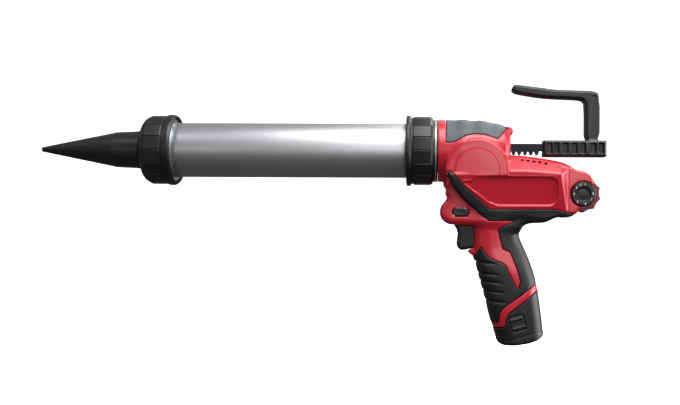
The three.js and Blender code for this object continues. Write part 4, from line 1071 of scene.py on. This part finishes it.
# %% [markdown]
# ## Floor, lights and world
# A pale floor lies as far below as the battery comes out, inside a pale dome. Both have a little
# light of their own, so they read as plain white. Soft boxes light the tool as in a catalogue: a
# wide one above for the bright band on the barrel, one behind the top, two small ones for the
# nozzle and the front collar, one from the right for the facet at the back, and a low one by the
# eye. The sky is bright above and dim below, so the lower third of the tube turns dark as real
# satin metal does.

# %% Floor and backdrop
BATTERY_TRAVEL = 0.066
FLOOR_HALF = 9
floor_z = cad_box[0].z - BATTERY_TRAVEL
mesh = bpy.data.meshes.new("floor")
corners = [(u * FLOOR_HALF, v * FLOOR_HALF, floor_z) for u, v in ((-1, -1), (1, -1), (1, 1), (-1, 1))]
mesh.from_pydata(corners, [], [(0, 1, 2, 3)])
floor = bpy.data.objects.new("floor", mesh)
shape = bmesh.new()
bmesh.ops.create_icosphere(shape, subdivisions=4, radius=7.0)
mesh = bpy.data.meshes.new("backdrop")
shape.to_mesh(mesh)
shape.free()
backdrop = bpy.data.objects.new("backdrop", mesh)
PAPER_GLOW = 1.3
for sheet in (floor, backdrop):
    bpy.context.scene.collection.objects.link(sheet)
    paper = Finish("white_" + sheet.name, Roughness=0.9, Emission_Strength=PAPER_GLOW)
    grain = paper.noise(40, 3)
    paper.link("Base Color", paper.blend(grain * 0.2, colour("F4F4F4"), colour("FFFFFF")))
    paper.link("Emission Color", paper.blend(grain * 0.1, colour("FFFFFF"), colour("FCFCFC")))
    sheet.data.materials.append(paper.material)
    sheet.visible_glossy = sheet.visible_diffuse = False
backdrop.visible_shadow = False
print("floor at", round(floor_z, 4))

# %% Lights
def softbox(name, at, towards, size, energy):
    light = bpy.data.lights.new(name, "AREA")
    light.shape, light.size, light.size_y, light.energy = "RECTANGLE", *size, energy
    box = bpy.data.objects.new(name, light)
    bpy.context.scene.collection.objects.link(box)
    box.location = at
    box.rotation_euler = (Vector(towards) - Vector(at)).to_track_quat("-Z", "Y").to_euler()


softbox("over_the_top", (0.20, -0.36, 0.88), (0.0, 0.0, 0.12), (0.9, 0.8), 14.0)
softbox("behind_the_top", (0.25, 0.50, 0.70), (0.03, 0.0, 0.12), (0.5, 0.4), 2.5)
softbox("over_the_nozzle", (-0.85, -0.40, 0.80), (-0.43, 0.0, 0.12), (0.2, 0.2), 0.7)
softbox("front_left", (-0.80, -0.95, 0.17), (-0.43, 0.0, 0.12), (0.2, 0.2), 0.45)
softbox("from_the_right", (1.0, 0.04, 0.16), (0.06, 0.0, 0.06), (1.0, 0.7), 11.0)
softbox("by_the_eye", (0.22, -1.25, 0.26), (0.02, 0.0, 0.12), (0.45, 0.3), 2.3)
print("lights placed")

# %% World
world = bpy.data.worlds.new("studio")
bpy.context.scene.world = world
world.use_nodes = True
sky_nodes, sky_links = world.node_tree.nodes, world.node_tree.links
where = sky_nodes.new("ShaderNodeTexCoord")
height = sky_nodes.new("ShaderNodeSeparateXYZ")
fade = sky_nodes.new("ShaderNodeMapRange")
fade.inputs["From Min"].default_value, fade.inputs["From Max"].default_value = -0.35, 0.55
shades = sky_nodes.new("ShaderNodeMix")
shades.data_type = "RGBA"
shades.inputs[6].default_value = (0.26, 0.245, 0.23, 1)
shades.inputs[7].default_value = (0.85, 0.86, 0.88, 1)
sky_links.new(where.outputs["Generated"], height.inputs[0])
sky_links.new(height.outputs["Z"], fade.inputs["Value"])
sky_links.new(fade.outputs[0], shades.inputs[0])
sky_links.new(shades.outputs[2], sky_nodes["Background"].inputs["Color"])
sky_nodes["Background"].inputs["Strength"].default_value = 0.35
bpy.context.scene.view_settings.view_transform = "Standard"
print("sky ready")

# %% [markdown]
# ## Camera
# The eye is about a metre away, a little below the barrel, and looks straight across the tool. A
# sideways shift frames the long nozzle without turning the camera, so the barrel stays level.

# %% The eye
camera = bpy.data.cameras.new("camera")
eye = bpy.data.objects.new("camera", camera)
bpy.context.scene.collection.objects.link(eye)
eye.location = (-0.067, -0.980, 0.0726)
eye.rotation_euler = (math.radians(90), math.radians(-0.24), 0)
camera.lens, camera.sensor_width, camera.shift_x = 51.9, 36.0, -0.1426
bpy.context.scene.camera = eye
print("lens", camera.lens, "mm")

# %% [markdown]
# ## Pieces
# The script ends by counting the pieces it made.

# %% Count the pieces
print("pieces:", len(PIECES))
